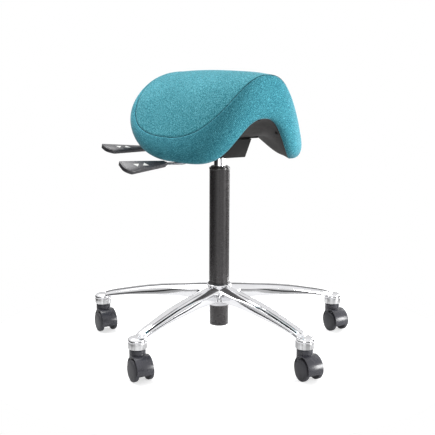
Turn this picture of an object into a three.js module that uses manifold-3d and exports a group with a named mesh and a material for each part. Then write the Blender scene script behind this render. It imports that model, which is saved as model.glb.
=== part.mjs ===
// Saddle stool: an upholstered saddle on a tilting mechanism, a gas lift and a five-arm base on casters.
// Millimetres, +Z up. The origin is on the floor under the column, and the saddle's front faces -Y.
import * as THREE from "three";
import { mergeVertices } from "three/addons/utils/BufferGeometryUtils.js";
import Module from "manifold-3d";

const wasm = await Module();
wasm.setup();

// Clearances shared by neighbouring pieces
const gap = 0.3;
const runningGap = 0.25;
const overrun = 5;
const mergeTolerance = 1e-4;

// The saddle's outer form, with heights taken from the pad under its shell, "ahead" towards the front
const saddle = {
  centreAhead: 59.3,
  crestRise: 155.6,
  flankDrop: 190.3,
  flankReach: 232.5,
  flankPowerShare: 1.25,
  frontRoll: 6.7,
  rearRoll: 6.9,
};
const seam = {
  halfWidth: 173.7,
  front: 161,
  rear: 245.6,
  taperLength: 545.8,
  frontRoundShare: 2.332,
  rearRoundShare: 2.213,
};
const hem = {
  halfWidth: 147.8,
  front: 142,
  rear: 188.4,
  taperLength: 536.8,
  roundShare: 2.331,
  archPowerShare: 1.266,
  frontArchRise: 51.4,
  rearArchRise: 39.9,
  sideDrop: 51.9,
  frontSideRise: -11.8,
  rearSideRise: 67.9,
};
const band = {
  sideSwell: 7.8,
  frontSwell: 12.8,
  rearSwell: 67.2,
  sideTuck: 50.5,
  frontTuck: 24.3,
  rearTuck: 53.3,
  tuckDrop: 6.2,
  shoulderShare: 0.224,
};
const cover = { thickness: 2.4, seamGap: 0.35 };
const saddleGrid = { around: 32, topRows: 6, bandRows: 7, shellRows: 5 };
const shell = { thickness: 9, edgeGap: 0.5, padRoundShare: 4, padCoreShare: 0.5 };

// Seat plate and the bolts that hold it to the shell
const seatPlate = {
  thickness: 3.4,
  front: -87.4,
  rear: 88,
  halfWidth: 62,
  cornerSetback: 7,
};
const seatBolt = {
  radius: 4,
  headFlange: 2.5,
  headHeight: 5.3,
  reach: 20,
  holeSpare: 2,
  edgeSetback: 12,
  alongSpacing: 70,
};

// Folded pan that carries the seat plate and turns on two pins
const pan = {
  wall: 2.5,
  below: 16,
  height: 47.4,
  frontTop: -89.7,
  frontBottom: -60.3,
  rearTop: 102,
  rearBottom: 94,
};
const pivot = { rise: 12, pinRadius: 5, pinDepth: 8, headFlange: 4, headThickness: 4, collarLength: 3.9 };
const carrier = { wall: 6.7, halfWidth: 31, earHalfLength: 11, height: 24.5 };
const quadrant = {
  thickness: 6,
  rootHalfHeight: 8,
  lowAngle: THREE.MathUtils.degToRad(-13),
  highAngle: THREE.MathUtils.degToRad(13),
};

// Gas lift
const pressureTube = {
  radius: 14,
  wall: 1.6,
  exposed: 32.5,
  proud: 1.5,
  neckTaper: 0.9,
  crownThickness: 14,
};
const valve = { radius: 2.6, headHeight: 4, stemSpare: 2 };
const pistonRod = {
  radius: 5,
  headroom: 92.5,
  pistonGap: 0.8,
  pistonHeight: 22,
  neckDepth: 1.4,
  neckHeight: 2.2,
  tipHeight: 2,
};
const column = {
  radius: 25,
  taper: 1.2,
  wall: 2,
  bottom: 45,
  length: 401,
  lipHeight: 5,
  lipThickness: 0.7,
  floorHeight: 7,
  floorThickness: 3,
};
const guideBush = { length: 70, topRim: 3 };
const thrustBearing = { width: 5.2, height: 9 };
const bumpStop = { width: 4.2, height: 22 };
const clip = { flange: 3.5, thickness: 1.4 };

// Five-arm base
const base = {
  arms: 5,
  stemCircle: 320,
  firstArmAngle: THREE.MathUtils.degToRad(62.5),
  hubTop: 151,
  hubHeight: 63,
  hubWall: 5,
  hubWaistWall: 3.8,
  ringWidth: 2.4,
  ringHeight: 3.4,
  armHalfWidth: 26,
  armDepth: 47,
  armTipRise: 3.5,
  socketRadius: 21.5,
  socketHeight: 22.7,
  socketDome: 1.8,
};
// Along the arm: share of the stem circle, of the half width, of the fall from hub to tip, of the depth
const armStationShares = [
  [0.0375, 1, 1, 1],
  [0.14, 0.96, 0.943, 0.787],
  [0.281, 0.885, 0.848, 0.638],
  [0.406, 0.827, 0.771, 0.596],
  [0.584, 0.75, 0.619, 0.511],
  [0.75, 0.673, 0.41, 0.383],
  [0.906, 0.596, 0.2, 0.309],
  [1.006, 0.5, 0, 0.245],
];
// One side of the arm's section: share of the half width, share of the height
const armSectionShares = [
  [0.62, 0],
  [0.94, 0.3],
  [1, 0.62],
  [0.8, 0.88],
  [0.42, 0.97],
];

// Twin-wheel casters
const caster = {
  trail: 17,
  wheelRadius: 25,
  wheelSides: 14,
  wheelWidth: 10.6,
  wheelSideGap: 0.6,
  wheelDome: 1.4,
  treadRound: 2.2,
  hubRecess: 1.6,
  axleRadius: 3,
  axleDepthInWheel: 9,
  webHalfWidth: 12.2,
  webSetback: 4,
  webBottom: 13.6,
  hoodRadius: 29.8,
  hoodLift: 3.4,
  hoodWall: 2.4,
  hoodSetback: 3.2,
  hoodLow: 19,
  neckRadius: 18.7,
  neckRise: 10.7,
  stemRadius: 5.5,
  stemSides: 8,
  stemDepth: 19.9,
  stemRise: 17.5,
  collarWidth: 3.5,
  collarThickness: 1,
};

// Levers: a bent rod with a wedge paddle, turning on the rod's inner stretch
const leverRod = { radius: 3, proud: 4.5, bendRadius: 14 };
const paddle = {
  length: 114,
  rearWall: 2.7,
  innerWall: 4.2,
  outerWidth: 40,
  cornerSetback: 17,
  wall: 2.2,
  bevel: 1.8,
  sleeve: 62,
};
const liftLever = {
  ahead: 27,
  aboveButton: 2,
  straight: 8,
  bendRun: 58,
  drop: 47.1,
  lowRun: 57,
  rise: THREE.MathUtils.degToRad(2.4),
  roll: THREE.MathUtils.degToRad(23),
};
const finger = { halfWidth: 5, ringWall: 2.3, thickness: 4, tipBeyondAxis: 3.6, playAboveButton: 0.9 };
const tiltLever = {
  setback: 14,
  straight: 111,
  lead: 12,
  rise: THREE.MathUtils.degToRad(4.8),
  roll: THREE.MathUtils.degToRad(12),
};
const pawl = { halfWidth: 3, ringWall: 2.7, tipHalfHeight: 4, length: 19.5, clearance: 0.5 };

// Heights from the floor up, each from the piece below it
const columnTop = column.bottom + column.length;
const floorBottom = column.bottom + column.floorHeight;
const floorTop = floorBottom + column.floorThickness;
const bearingBottom = floorTop + gap;
const stopBottom = bearingBottom + thrustBearing.height + gap;
const tubeBottom = stopBottom + bumpStop.height + gap;
const carrierBottom = columnTop + pressureTube.exposed;
const carrierTop = carrierBottom + carrier.height;
const tubeTop = carrierTop + pressureTube.proud;
const crownBottom = tubeTop - pressureTube.crownThickness;
const buttonTop = tubeTop + valve.headHeight;
const pivotHeight = carrierBottom + pivot.rise;
const panBottom = pivotHeight - pan.below;
const panTop = panBottom + pan.height;
const plateBottom = panTop + gap;
const plateTop = plateBottom + seatPlate.thickness;
const padHeight = plateTop + gap;

// Places and radii that pieces share
const columnSeat = column.radius - column.taper;
const columnInner = columnSeat - column.wall;
const pistonRodHole = pistonRod.radius + gap;
const pistonRodNeck = pistonRod.radius - pistonRod.neckDepth;
const carrierRadius = pressureTube.radius + gap + carrier.wall;
const panInner = carrier.halfWidth + pivot.collarLength + 2 * gap;
const panOuter = panInner + pan.wall;
const pinHead = pivot.pinRadius + pivot.headFlange;
const rodBore = leverRod.radius + gap;
const paddleThickness = 2 * (rodBore + paddle.wall);
const liftRodPlace = { y: -liftLever.ahead, z: buttonTop + liftLever.aboveButton };
const tiltRodPlace = { y: pan.rearBottom - tiltLever.setback, z: pivotHeight };
const quadrantRadius = tiltRodPlace.y - pawl.length - pawl.clearance;
const wheelCorner = caster.wheelRadius / Math.cos(Math.PI / caster.wheelSides);
const wheelInner = caster.webHalfWidth + caster.wheelSideGap;
const wheelOuter = wheelInner + caster.wheelWidth;
const hoodHalfWidth = wheelOuter - caster.hoodSetback;
const neckTop = caster.wheelRadius + caster.hoodLift + caster.hoodRadius + caster.neckRise;
const collarBottom = neckTop + gap;
const collarTop = collarBottom + caster.collarThickness;
const socketBottom = collarTop + gap;
const socketTop = socketBottom + base.socketHeight;
const stemBottom = neckTop - caster.stemDepth;
const stemTop = socketBottom + caster.stemRise;
const stemBore = (caster.stemRadius + runningGap) / Math.cos(Math.PI / caster.stemSides);
const hubBottom = base.hubTop - base.hubHeight;
const hubRadius = column.radius + base.hubWall;

const fabricTop = { color: 0x6fb7c0, roughness: 0.95, metalness: 0 };
const fabricSide = { color: 0x3f97a8, roughness: 0.95, metalness: 0 };
const foam = { color: 0xe8dfb8, roughness: 1, metalness: 0 };
const shellPlastic = { color: 0x2f2b2b, roughness: 0.8, metalness: 0 };
const blackPlastic = { color: 0x2b2b2e, roughness: 0.5, metalness: 0 };
const blackSteel = { color: 0x262527, roughness: 0.45, metalness: 0.4 };
const chrome = { color: 0xd8d8de, roughness: 0.08, metalness: 1 };
const steel = { color: 0xa5a7ab, roughness: 0.3, metalness: 1 };
const polished = { color: 0xdfe0e2, roughness: 0.12, metalness: 1 };
const rubber = { color: 0x1f1f1f, roughness: 0.9, metalness: 0 };
const wheelPlastic = { color: 0x35363a, roughness: 0.55, metalness: 0 };

const stool = new THREE.Group();

function addPiece(name, geometry, finish, parent = stool) {
  const mesh = new THREE.Mesh(geometry, new THREE.MeshStandardMaterial(finish));
  mesh.name = name;
  parent.add(mesh);
  return mesh;
}

// Shapes as manifold solids, so that they can be cut and joined
function solidOf(geometry) {
  const bare = geometry.clone();
  bare.deleteAttribute("normal");
  bare.deleteAttribute("uv");
  const merged = mergeVertices(bare, mergeTolerance);
  const position = merged.attributes.position;
  const indices = Uint32Array.from(merged.index.array);
  if (signedVolume(position, indices) < 0) {
    for (let i = 0; i < indices.length; i += 3) {
      [indices[i], indices[i + 1]] = [indices[i + 1], indices[i]];
    }
  }
  const vertProperties = Float32Array.from(position.array);
  return new wasm.Manifold(new wasm.Mesh({ numProp: 3, vertProperties, triVerts: indices }));
}

function signedVolume(position, indices) {
  const corners = [new THREE.Vector3(), new THREE.Vector3(), new THREE.Vector3()];
  let total = 0;
  for (let i = 0; i < indices.length; i += 3) {
    corners.forEach((corner, k) => corner.fromBufferAttribute(position, indices[i + k]));
    total += corners[0].dot(corners[1].clone().cross(corners[2])) / 6;
  }
  return total;
}

function geometryOf(solid) {
  const mesh = solid.getMesh();
  const geometry = new THREE.BufferGeometry();
  geometry.setAttribute("position", new THREE.BufferAttribute(Float32Array.from(mesh.vertProperties), 3));
  geometry.setIndex(Array.from(mesh.triVerts));
  geometry.computeVertexNormals();
  return geometry;
}

function cut(solid, ...tools) {
  return tools.reduce((rest, tool) => rest.subtract(tool), solid);
}

function join(...solids) {
  return solids.reduce((whole, piece) => whole.add(piece));
}

function block(low, high) {
  const size = high.map((value, axis) => value - low[axis]);
  const centre = high.map((value, axis) => (value + low[axis]) / 2);
  return solidOf(new THREE.BoxGeometry(...size).translate(...centre));
}

// A round bar between two places along X, Y or Z
function bar(radius, axis, from, to, centre, sides = 20) {
  const geometry = new THREE.CylinderGeometry(radius, radius, to - from, sides);
  if (axis === "x") geometry.rotateZ(Math.PI / 2);
  if (axis === "z") geometry.rotateX(Math.PI / 2);
  const middle = { ...centre, [axis]: (from + to) / 2 };
  return solidOf(geometry.translate(middle.x ?? 0, middle.y ?? 0, middle.z ?? 0));
}

// A body of revolution about Z from pairs of radius and height
function turned(profile, sides) {
  const points = profile.map(([radius, height]) => new THREE.Vector2(radius, height));
  return new THREE.LatheGeometry(points, sides).rotateX(Math.PI / 2);
}

// A closed turned profile that stays off the axis, such as a tube or a ring
function turnedRing(profile, sides) {
  return turned([...profile, profile[0]], sides);
}

// A plate drawn in the Y-Z plane and given a width along X
function sidePlate(points, low, high) {
  const outline = new THREE.Shape(points.map(([y, z]) => new THREE.Vector2(y, z)));
  const geometry = new THREE.ExtrudeGeometry(outline, { depth: high - low, bevelEnabled: false });
  geometry.rotateX(Math.PI / 2).rotateZ(Math.PI / 2).translate(low, 0, 0);
  return geometry;
}

// A closed body from rings of points, each joined to the next; a ring of one point is a pole
function ringBody(rings) {
  return stitchedBody(rings, rings.slice(1).map((_, i) => [i, i + 1]));
}

// A skin between an outer and an inner list of rings, whose faces are split the same way
function skinBody(outer, inner) {
  const count = outer.length;
  const rows = outer.slice(1).map((_, i) => i);
  const joins = [
    ...rows.map((i) => [i, i + 1]),
    ...rows.map((i) => [count + i, count + i + 1, "turned"]),
    [count - 1, 2 * count - 1],
  ];
  if (outer[0].length > 1) joins.push([count, 0]);
  return stitchedBody([...outer, ...inner], joins);
}

function stitchedBody(rings, joins) {
  const positions = [];
  const starts = rings.map((ring) => {
    const start = positions.length / 3;
    ring.forEach((point) => positions.push(point.x, point.y, point.z));
    return start;
  });
  const indices = [];
  joins.forEach(([a, b, turned]) => {
    const faces = bridge(starts[a], rings[a].length, starts[b], rings[b].length);
    faces.forEach(([i, j, k]) => indices.push(i, ...(turned ? [k, j] : [j, k])));
  });
  const geometry = new THREE.BufferGeometry();
  geometry.setAttribute("position", new THREE.BufferAttribute(new Float32Array(positions), 3));
  geometry.setIndex(indices);
  return geometryOf(solidOf(geometry));
}

function bridge(startA, countA, startB, countB) {
  const count = Math.max(countA, countB);
  const faces = [];
  for (let j = 0; j < count; j += 1) {
    const k = (j + 1) % count;
    if (countB > 1) faces.push([startA + (j % countA), startB + j, startB + k]);
    if (countA > 1) faces.push([startA + j, startB + (countB > 1 ? k : 0), startA + k]);
  }
  return faces;
}

// Saddle form
function signedPower(value, power) {
  return Math.sign(value) * Math.abs(value) ** power;
}

function roundOutline(angle, form, frontRoundShare, rearRoundShare) {
  const along = Math.sin(angle);
  const power = 2 / (along > 0 ? frontRoundShare : rearRoundShare);
  const acrossShare = signedPower(Math.cos(angle), power);
  const alongShare = signedPower(along, power);
  const ahead = alongShare * (along > 0 ? form.front : form.rear);
  const across = form.halfWidth * acrossShare * (1 - ahead / form.taperLength);
  return { across, ahead, acrossShare, alongShare };
}

function swing(share) {
  return (1 - Math.cos(Math.PI * Math.min(Math.abs(share), 1))) / 2;
}

function topHeight(across, ahead) {
  const reach = saddle.flankReach * (1 - ahead / seam.taperLength);
  const drop = saddle.flankDrop * swing((Math.abs(across) / reach) ** saddle.flankPowerShare);
  const endShare = Math.abs(ahead) / (ahead > 0 ? seam.front : seam.rear);
  const roll = (ahead > 0 ? saddle.frontRoll : saddle.rearRoll) * endShare ** 3;
  return padHeight + saddle.crestRise - drop - roll;
}

function archHeight(acrossShare, alongShare) {
  const towardsFront = (1 + alongShare) / 2;
  const crest = hem.rearArchRise + (hem.frontArchRise - hem.rearArchRise) * towardsFront;
  const rise = alongShare > 0 ? hem.frontSideRise : hem.rearSideRise;
  const side = rise * alongShare ** 2 - hem.sideDrop;
  return padHeight + crest - (crest - side) * swing(Math.abs(acrossShare) ** hem.archPowerShare);
}

// A point of the saddle in the stool's frame
function placed(across, ahead, height) {
  return new THREE.Vector3(across, -(ahead + saddle.centreAhead), height);
}

function seamPoint(angle, share = 1) {
  const rim = roundOutline(angle, seam, seam.frontRoundShare, seam.rearRoundShare);
  return placed(rim.across * share, rim.ahead * share, topHeight(rim.across * share, rim.ahead * share));
}

function hemPoint(angle) {
  const rim = roundOutline(angle, hem, hem.roundShare, hem.roundShare);
  return placed(rim.across, rim.ahead, archHeight(rim.acrossShare, rim.alongShare));
}

function aroundMix(angle, side, front, rear) {
  const along = Math.sin(angle) ** 2;
  return side * (1 - along) + (Math.sin(angle) > 0 ? front : rear) * along;
}

function bandPoint(angle, share) {
  const top = seamPoint(angle);
  const low = hemPoint(angle);
  const outward = new THREE.Vector3(Math.cos(angle), -Math.sin(angle), 0);
  const swell = aroundMix(angle, band.sideSwell, band.frontSwell, band.rearSwell);
  const tuck = aroundMix(angle, band.sideTuck, band.frontTuck, band.rearTuck);
  const shoulder = top.clone().addScaledVector(outward, swell);
  shoulder.z -= band.shoulderShare * (top.z - low.z);
  const under = low.clone().addScaledVector(outward, tuck);
  under.z -= band.tuckDrop;
  return new THREE.CubicBezierCurve3(top, shoulder, under, low).getPoint(share);
}

// The outward direction of a surface given as a function of angle and share
function outwardAt(surface, angle, share) {
  const stepShare = 1e-3;
  const low = Math.max(share - stepShare, 0);
  const high = Math.min(share + stepShare, 1);
  const along = surface(angle, high).sub(surface(angle, low));
  const around = surface(angle + stepShare, share).sub(surface(angle - stepShare, share));
  return around.cross(along).normalize();
}

function insetSurface(surface, angle, share, depth) {
  return surface(angle, share).addScaledVector(outwardAt(surface, angle, share), -depth);
}

// At the seam both panels are inset along the line that halves their corner
function insetSeam(angle, share, depth) {
  const above = outwardAt(seamPoint, angle, 1);
  const below = outwardAt(bandPoint, angle, 0);
  const middle = above.clone().add(below).normalize();
  return seamPoint(angle, share).addScaledVector(middle, -depth / middle.dot(above));
}

function ringOf(pointAt) {
  const turn = (2 * Math.PI) / saddleGrid.around;
  return Array.from({ length: saddleGrid.around }, (_, i) => pointAt(i * turn));
}

function crestPoint(depth) {
  return [placed(0, 0, padHeight + saddle.crestRise - depth)];
}

function topRings(depth, seamShare) {
  const rings = [crestPoint(depth)];
  for (let row = 1; row < saddleGrid.topRows; row += 1) {
    rings.push(ringOf((angle) => insetSurface(seamPoint, angle, row / saddleGrid.topRows, depth)));
  }
  rings.push(ringOf((angle) => insetSeam(angle, seamShare, depth)));
  return rings;
}

function bandRings(depth) {
  const rings = [ringOf((angle) => insetSeam(angle, 1, depth))];
  for (let row = 1; row <= saddleGrid.bandRows; row += 1) {
    rings.push(ringOf((angle) => insetSurface(bandPoint, angle, row / saddleGrid.bandRows, depth)));
  }
  return rings;
}

function topPanel() {
  const seamShare = 1 - cover.seamGap / seam.front;
  return skinBody(topRings(0, seamShare), topRings(cover.thickness, seamShare));
}

function sideBand() {
  return skinBody(bandRings(0), bandRings(cover.thickness));
}

// The shell runs from the pad under its middle out to the hem
function shellPlan(angle, share) {
  const rim = roundOutline(angle, hem, hem.roundShare, hem.roundShare);
  const edgeShare = 1 - shell.edgeGap / hem.front;
  const power = 2 / shell.padRoundShare;
  const padAcross = seatPlate.halfWidth * signedPower(Math.cos(angle), power);
  const padAhead = seatPlate.rear * signedPower(Math.sin(angle), power) - saddle.centreAhead;
  return {
    across: padAcross + (rim.across * edgeShare - padAcross) * share,
    ahead: padAhead + (rim.ahead * edgeShare - padAhead) * share,
  };
}

function archAt(across, ahead) {
  const alongShare = THREE.MathUtils.clamp(ahead / (ahead > 0 ? hem.front : hem.rear), -1, 1);
  return archHeight(across / (hem.halfWidth * (1 - ahead / hem.taperLength)), alongShare);
}

// How much more upright height a layer takes where the arch slopes
function slopeStretch(across, ahead) {
  const step = shell.edgeGap;
  const sideways = (archAt(across + step, ahead) - archAt(across - step, ahead)) / (2 * step);
  const along = (archAt(across, ahead + step) - archAt(across, ahead - step)) / (2 * step);
  return Math.hypot(1, sideways, along);
}

function shellTopHeight(across, ahead, extra) {
  return archAt(across, ahead) + (shell.thickness + extra) * slopeStretch(across, ahead);
}

function shellTop(angle, share, extra) {
  const { across, ahead } = shellPlan(angle, share);
  return placed(across, ahead, shellTopHeight(across, ahead, extra));
}

function shellUnder(angle, share) {
  const { across, ahead } = shellPlan(angle, share);
  const eased = THREE.MathUtils.smoothstep(share, 0, 1);
  return placed(across, ahead, padHeight + (archAt(across, ahead) - padHeight) * eased);
}

function shellTopRings(extra) {
  const rings = [];
  for (let row = saddleGrid.shellRows; row >= 0; row -= 1) {
    rings.push(ringOf((angle) => shellTop(angle, row / saddleGrid.shellRows, extra)));
  }
  rings.push(ringOf((angle) => coreTop(angle, extra)));
  rings.push([placed(0, -saddle.centreAhead, shellTopHeight(0, -saddle.centreAhead, extra))]);
  return rings;
}

function coreTop(angle, extra) {
  const edge = shellPlan(angle, 0);
  const across = edge.across * shell.padCoreShare;
  const ahead = -saddle.centreAhead + (edge.ahead + saddle.centreAhead) * shell.padCoreShare;
  return placed(across, ahead, shellTopHeight(across, ahead, extra));
}

function foamPad() {
  const depth = cover.thickness + gap;
  const skin = [...topRings(depth, 1), ...bandRings(depth).slice(1)];
  const wall = ringOf((angle) => {
    const rim = hemPoint(angle);
    rim.z = shellTop(angle, 1, gap).z;
    return rim;
  });
  return ringBody([...skin, wall, ...shellTopRings(gap).slice(1)]);
}

function seatShell() {
  const under = [[placed(0, -saddle.centreAhead, padHeight)]];
  for (let row = 0; row <= saddleGrid.shellRows; row += 1) {
    under.push(ringOf((angle) => shellUnder(angle, row / saddleGrid.shellRows)));
  }
  const body = solidOf(ringBody([...under, ...shellTopRings(0)]));
  const holeTop = plateTop + seatBolt.reach + seatBolt.holeSpare;
  const holes = boltPlaces().map((place) =>
    bar(seatBolt.radius + gap, "z", padHeight - overrun, holeTop, place, 12));
  return geometryOf(cut(body, ...holes));
}

function addSaddle() {
  addPiece("cover_top_panel", topPanel(), fabricTop);
  addPiece("cover_side_band", sideBand(), fabricSide);
  addPiece("foam_pad", foamPad(), foam);
  addPiece("seat_shell", seatShell(), shellPlastic);
}

// Seat plate and bolts
function boltPlaces() {
  const x = seatPlate.halfWidth - seatBolt.edgeSetback;
  const y = seatBolt.alongSpacing / 2;
  return [{ x: -x, y: -y }, { x, y: -y }, { x: -x, y }, { x, y }];
}

function seatPlateBody() {
  const { front, rear, halfWidth, cornerSetback } = seatPlate;
  const half = [
    [halfWidth - cornerSetback, front],
    [halfWidth, front + cornerSetback],
    [halfWidth, rear - cornerSetback],
    [halfWidth - cornerSetback, rear],
  ];
  const points = [...half, ...half.map(([x, y]) => [-x, y]).reverse()];
  const outline = new THREE.Shape(points.map(([x, y]) => new THREE.Vector2(x, y)));
  const plate = new THREE.ExtrudeGeometry(outline, { depth: seatPlate.thickness, bevelEnabled: false });
  const holes = boltPlaces().map((place) =>
    bar(seatBolt.radius + gap, "z", plateBottom - overrun, plateTop + overrun, place, 12));
  return geometryOf(cut(solidOf(plate.translate(0, 0, plateBottom)), ...holes));
}

function seatBoltBody(place) {
  const headTop = plateBottom - gap;
  const headBottom = headTop - seatBolt.headHeight;
  const head = bar(seatBolt.radius + seatBolt.headFlange, "z", headBottom, headTop, place, 6);
  const shank = bar(seatBolt.radius, "z", (headBottom + headTop) / 2, plateTop + seatBolt.reach, place, 12);
  return geometryOf(join(head, shank));
}

// Pan: a folded box, open below, with the lever rods and pivot pins through its side walls
function panProfile(wall, bottom) {
  const frontLean = (pan.frontBottom - pan.frontTop) / pan.height;
  const rearLean = (pan.rearTop - pan.rearBottom) / pan.height;
  const top = panTop - wall;
  const frontAt = (z) => pan.frontTop + wall * Math.hypot(1, frontLean) + (panTop - z) * frontLean;
  const rearAt = (z) => pan.rearTop - wall * Math.hypot(1, rearLean) - (panTop - z) * rearLean;
  return [[frontAt(bottom), bottom], [rearAt(bottom), bottom], [rearAt(top), top], [frontAt(top), top]];
}

function panBody() {
  const outside = solidOf(sidePlate(panProfile(0, panBottom), -panOuter, panOuter));
  const hollow = solidOf(sidePlate(panProfile(pan.wall, panBottom - overrun), -panInner, panInner));
  const reach = panOuter + overrun;
  const holes = [
    bar(pivot.pinRadius + gap, "x", -reach, reach, { z: pivotHeight }, 12),
    bar(leverRod.radius + runningGap, "x", -reach, reach, liftRodPlace, 12),
    bar(leverRod.radius + runningGap, "x", -reach, reach, tiltRodPlace, 12),
  ];
  return geometryOf(cut(outside, hollow, ...holes));
}

function pivotPin(side) {
  const wallOuter = panOuter + gap;
  const face = carrier.halfWidth + gap;
  const at = { z: pivotHeight };
  const span = (from, to) => (side > 0 ? [from, to] : [-to, -from]);
  const tip = carrier.halfWidth - pivot.pinDepth;
  const shank = bar(pivot.pinRadius, "x", ...span(tip, wallOuter + gap), at, 12);
  const head = bar(pinHead, "x", ...span(wallOuter, wallOuter + pivot.headThickness), at, 12);
  const collar = bar(pinHead, "x", ...span(face, panInner - gap), at, 12);
  return geometryOf(join(shank, head, collar));
}

// The carrier clamps on the gas lift's neck and holds the pivot pins
function neckRadiusAt(height) {
  const share = (height - carrierBottom) / (tubeTop - carrierBottom);
  return pressureTube.radius - pressureTube.neckTaper * share;
}

function carrierBody() {
  const round = bar(carrierRadius, "z", carrierBottom, carrierTop, {}, 20);
  const ears = block(
    [-carrier.halfWidth, -carrier.earHalfLength, carrierBottom],
    [carrier.halfWidth, carrier.earHalfLength, carrierTop],
  );
  const low = carrierBottom - overrun;
  const high = carrierTop + overrun;
  const bore = solidOf(turned([
    [0, low], [neckRadiusAt(low) + gap, low], [neckRadiusAt(high) + gap, high], [0, high],
  ], 20));
  const holeEnd = carrier.halfWidth - pivot.pinDepth - gap;
  const reach = carrier.halfWidth + overrun;
  const holes = [
    bar(pivot.pinRadius + gap, "x", holeEnd, reach, { z: pivotHeight }, 12),
    bar(pivot.pinRadius + gap, "x", -reach, -holeEnd, { z: pivotHeight }, 12),
  ];
  return geometryOf(cut(join(round, ears), bore, ...holes));
}

function quadrantBody() {
  const { lowAngle, highAngle, rootHalfHeight, thickness } = quadrant;
  const root = carrierRadius + gap;
  const arc = new THREE.EllipseCurve(0, pivotHeight, quadrantRadius, quadrantRadius, lowAngle, highAngle);
  const rim = arc.getPoints(8).map((point) => [point.x, point.y]);
  const points = [[root, pivotHeight - rootHalfHeight], ...rim, [root, pivotHeight + rootHalfHeight]];
  return sidePlate(points, -thickness / 2, thickness / 2);
}

function addMechanism() {
  addPiece("seat_plate", seatPlateBody(), blackSteel);
  boltPlaces().forEach((place, i) => addPiece(`seat_bolt_${i + 1}`, seatBoltBody(place), steel));
  addPiece("mechanism_pan", panBody(), blackSteel);
  addPiece("pivot_pin_left", pivotPin(-1), steel);
  addPiece("pivot_pin_right", pivotPin(1), steel);
  addPiece("lift_socket", carrierBody(), steel);
  addPiece("tilt_quadrant", quadrantBody(), steel);
}

// Levers
function extrudeAlong(curve, radius, steps) {
  const section = new THREE.Shape(new THREE.EllipseCurve(0, 0, radius, radius).getPoints(7).slice(1));
  return new THREE.ExtrudeGeometry(section, { steps, extrudePath: curve, bevelEnabled: false });
}

// A path of straight runs with rounded corners
function bentPath(points, bendRadius) {
  const path = new THREE.CurvePath();
  let start = points[0];
  for (let i = 1; i < points.length - 1; i += 1) {
    const before = points[i].clone().lerp(points[i - 1], bendRadius / points[i].distanceTo(points[i - 1]));
    const after = points[i].clone().lerp(points[i + 1], bendRadius / points[i].distanceTo(points[i + 1]));
    path.add(new THREE.LineCurve3(start, before));
    path.add(new THREE.QuadraticBezierCurve3(before, points[i], after));
    start = after;
  }
  path.add(new THREE.LineCurve3(start, points.at(-1)));
  return path;
}

function outwardFrom(start, distance, rise) {
  const step = new THREE.Vector3(-Math.cos(rise), 0, Math.sin(rise));
  return start.clone().addScaledVector(step, distance);
}

const bendStart = -panOuter - liftLever.straight;
const bendEnd = bendStart - liftLever.bendRun;
const liftPaddleStart = new THREE.Vector3(
  bendEnd - liftLever.lowRun,
  liftRodPlace.y,
  liftRodPlace.z - liftLever.drop + liftLever.lowRun * Math.tan(liftLever.rise),
);
const tiltBend = new THREE.Vector3(-panOuter - tiltLever.straight, tiltRodPlace.y, tiltRodPlace.z);
const tiltPaddleStart = outwardFrom(tiltBend, tiltLever.lead, tiltLever.rise);

function liftRod() {
  const at = (x, z) => new THREE.Vector3(x, liftRodPlace.y, z);
  const points = [
    at(panOuter + leverRod.proud, liftRodPlace.z),
    at(bendStart - leverRod.bendRadius, liftRodPlace.z),
    at(bendEnd, liftRodPlace.z - liftLever.drop),
    outwardFrom(liftPaddleStart, paddle.sleeve - gap, liftLever.rise),
  ];
  return extrudeAlong(bentPath(points, leverRod.bendRadius), leverRod.radius, 18);
}

function tiltRod() {
  const far = new THREE.Vector3(panOuter + leverRod.proud, tiltRodPlace.y, tiltRodPlace.z);
  const tip = outwardFrom(tiltPaddleStart, paddle.sleeve - gap, tiltLever.rise);
  return extrudeAlong(bentPath([far, tiltBend, tip], leverRod.radius), leverRod.radius, 22);
}

// The paddle lies along +X of its own frame, with the rod on its axis and the free edge towards +Y
function paddleBody() {
  const inset = paddle.bevel;
  const rear = inset - rodBore - paddle.rearWall;
  const far = paddle.length - inset;
  const outline = new THREE.Shape();
  outline.moveTo(inset, rear);
  outline.lineTo(far, rear);
  outline.quadraticCurveTo(
    far, paddle.outerWidth / 2,
    paddle.length - paddle.cornerSetback, paddle.outerWidth - inset,
  );
  outline.lineTo(inset, rodBore + paddle.innerWall - inset);
  const depth = paddleThickness - 2 * inset;
  const plate = new THREE.ExtrudeGeometry(outline, {
    depth, curveSegments: 6, bevelEnabled: true, bevelThickness: inset, bevelSize: inset, bevelSegments: 1,
  });
  plate.translate(0, 0, -depth / 2);
  return geometryOf(cut(solidOf(plate), bar(rodBore, "x", -overrun, paddle.sleeve, {}, 12)));
}

function addPaddle(name, start, rise, roll) {
  const facing = new THREE.Group();
  facing.position.copy(start);
  facing.rotation.z = Math.PI;
  const rising = new THREE.Group();
  rising.rotation.y = -rise;
  facing.add(rising);
  stool.add(facing);
  addPiece(name, paddleBody(), blackPlastic, rising).rotation.x = -roll;
}

// A ring round a lever rod with an arm to one side
function ringedArm(halfWidth, ringWall, place, low, high) {
  const ring = bar(rodBore + ringWall, "x", -halfWidth, halfWidth, place, 16);
  const arm = block([-halfWidth, ...low], [halfWidth, ...high]);
  const bore = bar(rodBore, "x", -halfWidth - overrun, halfWidth + overrun, place, 12);
  return geometryOf(cut(join(ring, arm), bore));
}

// The finger reaches from the lift rod over the valve button, with a little play
function fingerBody() {
  const underside = buttonTop + finger.playAboveButton;
  const low = [liftRodPlace.y, underside];
  const high = [finger.tipBeyondAxis, underside + finger.thickness];
  return ringedArm(finger.halfWidth, finger.ringWall, liftRodPlace, low, high);
}

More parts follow.
